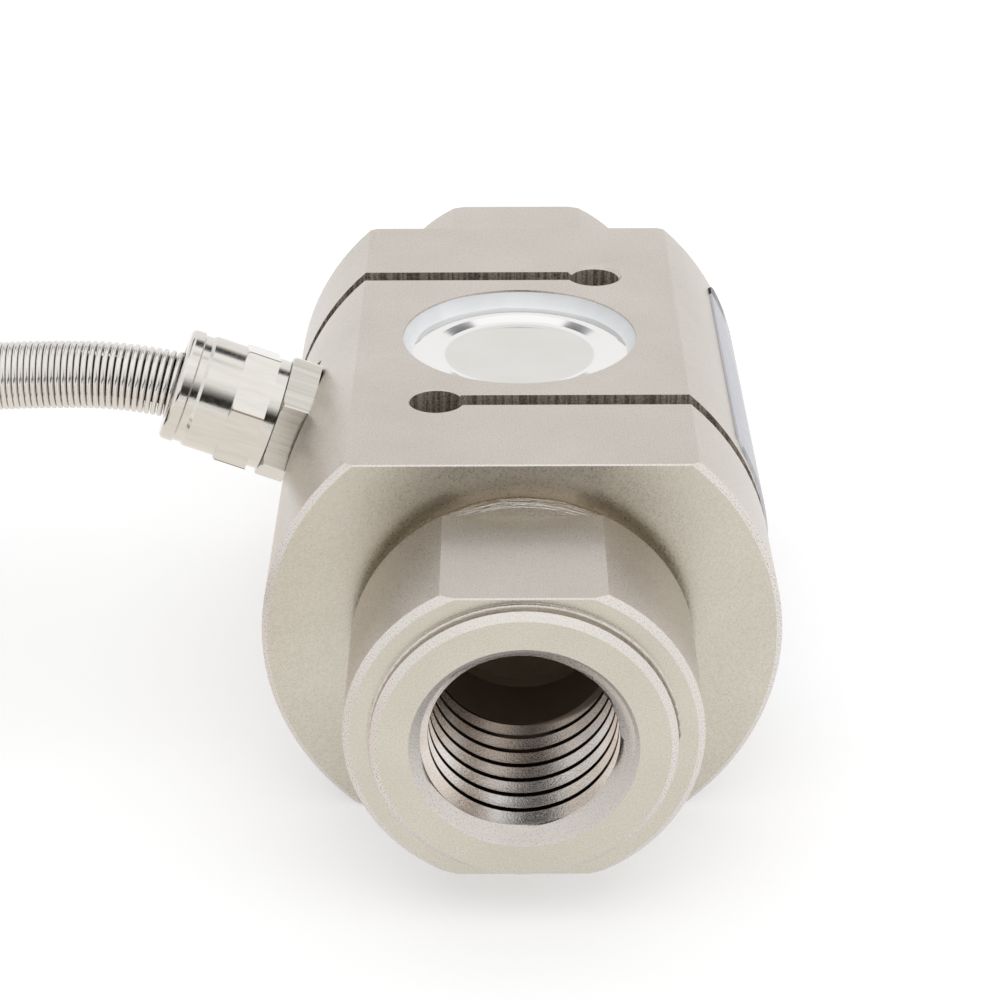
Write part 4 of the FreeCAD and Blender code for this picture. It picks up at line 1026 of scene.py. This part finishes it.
mirrored_card("near_front_card", BLACK, upright(-0.055, 0.05, 0.0536, 0.2156, 0.20),
              left=0.1, right=0.2, high=0.68)
mirrored_card("bench_card", (0.16, 0.12, 0.09), upright(0.05, 0.17, 0.035, 0.10, 0.20),
              left=0.3, right=0.3, low=0.2, high=0.3)
mirrored_card("far_front_card", (0.03, 0.024, 0.028), upright(-0.40, -0.07, 0.0, 0.20, 0.60), high=0.1)
mirrored_card("beige_card", (0.95, 0.91, 0.865),
              level(0.0001, (-0.2, -0.3), (-0.034, -0.3), (-0.034, 0.06), (-0.2, 0.06)))
mirrored_card("left_slate_card", SLATE,
              level(OVERHEAD, (-0.13, 0.86), (-0.23, 1.16), (-0.55, 0.86), (-0.31, 0.41)), **SLATE_FADE)
mirrored_card("right_slate_card", SLATE,
              level(OVERHEAD, (0.15, 0.86), (0.25, 1.18), (0.57, 0.86), (0.33, 0.41)), **SLATE_FADE)
mirrored_card("right_beige_card", (0.50, 0.42, 0.35),
              level(OVERHEAD - 0.01, (0.24, 1.04), (0.30, 1.14), (0.52, 0.87), (0.43, 0.74)))
mirrored_card("gland_card", (0.34, 0.32, 0.31),
              level(OVERHEAD, (0.22, 0.02), (0.35, 0.02), (0.35, 0.20), (0.22, 0.20)),
              left=0.5, right=0.5, low=0.5, high=0.5)
mirrored_card("hose_card", (0.45, 0.45, 0.46),
              level(OVERHEAD + 0.02, (-0.62, 0.16), (-0.28, 0.16), (-0.28, 1.3), (-0.62, 1.3)))


def soft_lamp(name, place, aim, width, height, power, mirrored=False):
    """A large soft lamp at a place, pointed at a spot. Where it isn't mirrored, metal sees the room there."""
    light = bpy.data.lights.new(name, "AREA")
    light.shape = "RECTANGLE"
    light.size = width
    light.size_y = height
    light.energy = power
    lamp = bpy.data.objects.new(name, light)
    lamp.location = place
    lamp.rotation_mode = "QUATERNION"
    lamp.rotation_quaternion = (Vector(aim) - Vector(place)).to_track_quat("-Z", "Y")
    lamp.visible_glossy = mirrored
    bpy.context.scene.collection.objects.link(lamp)


soft_lamp("overhead_lamp", (0.0, -0.1, 1.1), (0.0, 0.0, 0.02), width=1.6, height=1.6, power=6.4)
soft_lamp("mirrored_lamp", (0.0, 0.1, 1.12), (0.0, 0.1, 0.0), width=1.8, height=2.0, power=1.4,
          mirrored=True)
soft_lamp("right_lamp", (1.2, -0.5, 0.6), (0.0, 0.0, 0.02), width=0.9, height=0.9, power=2.6)

# the camera looks down on the front end; its angles are in radians, its sensor and lens in millimetres
EYE = (-0.0027, -0.29870, 0.17475)
DOWN = 0.47246
HEADING = 0.000805
TILT = -0.002957
camera_data = bpy.data.cameras.new("camera")
camera_data.sensor_width = 36.0
camera_data.lens = 94.75
camera_data.clip_start = 0.01
camera = bpy.data.objects.new("camera", camera_data)
camera.matrix_world = (Matrix.Translation(EYE)
                       @ Matrix.Rotation(-HEADING, 4, "Z")
                       @ Matrix.Rotation(math.pi / 2 - DOWN, 4, "X")
                       @ Matrix.Rotation(TILT, 4, "Z"))
bpy.context.scene.collection.objects.link(camera)
bpy.context.scene.camera = camera
bpy.context.scene.view_settings.view_transform = "Standard"
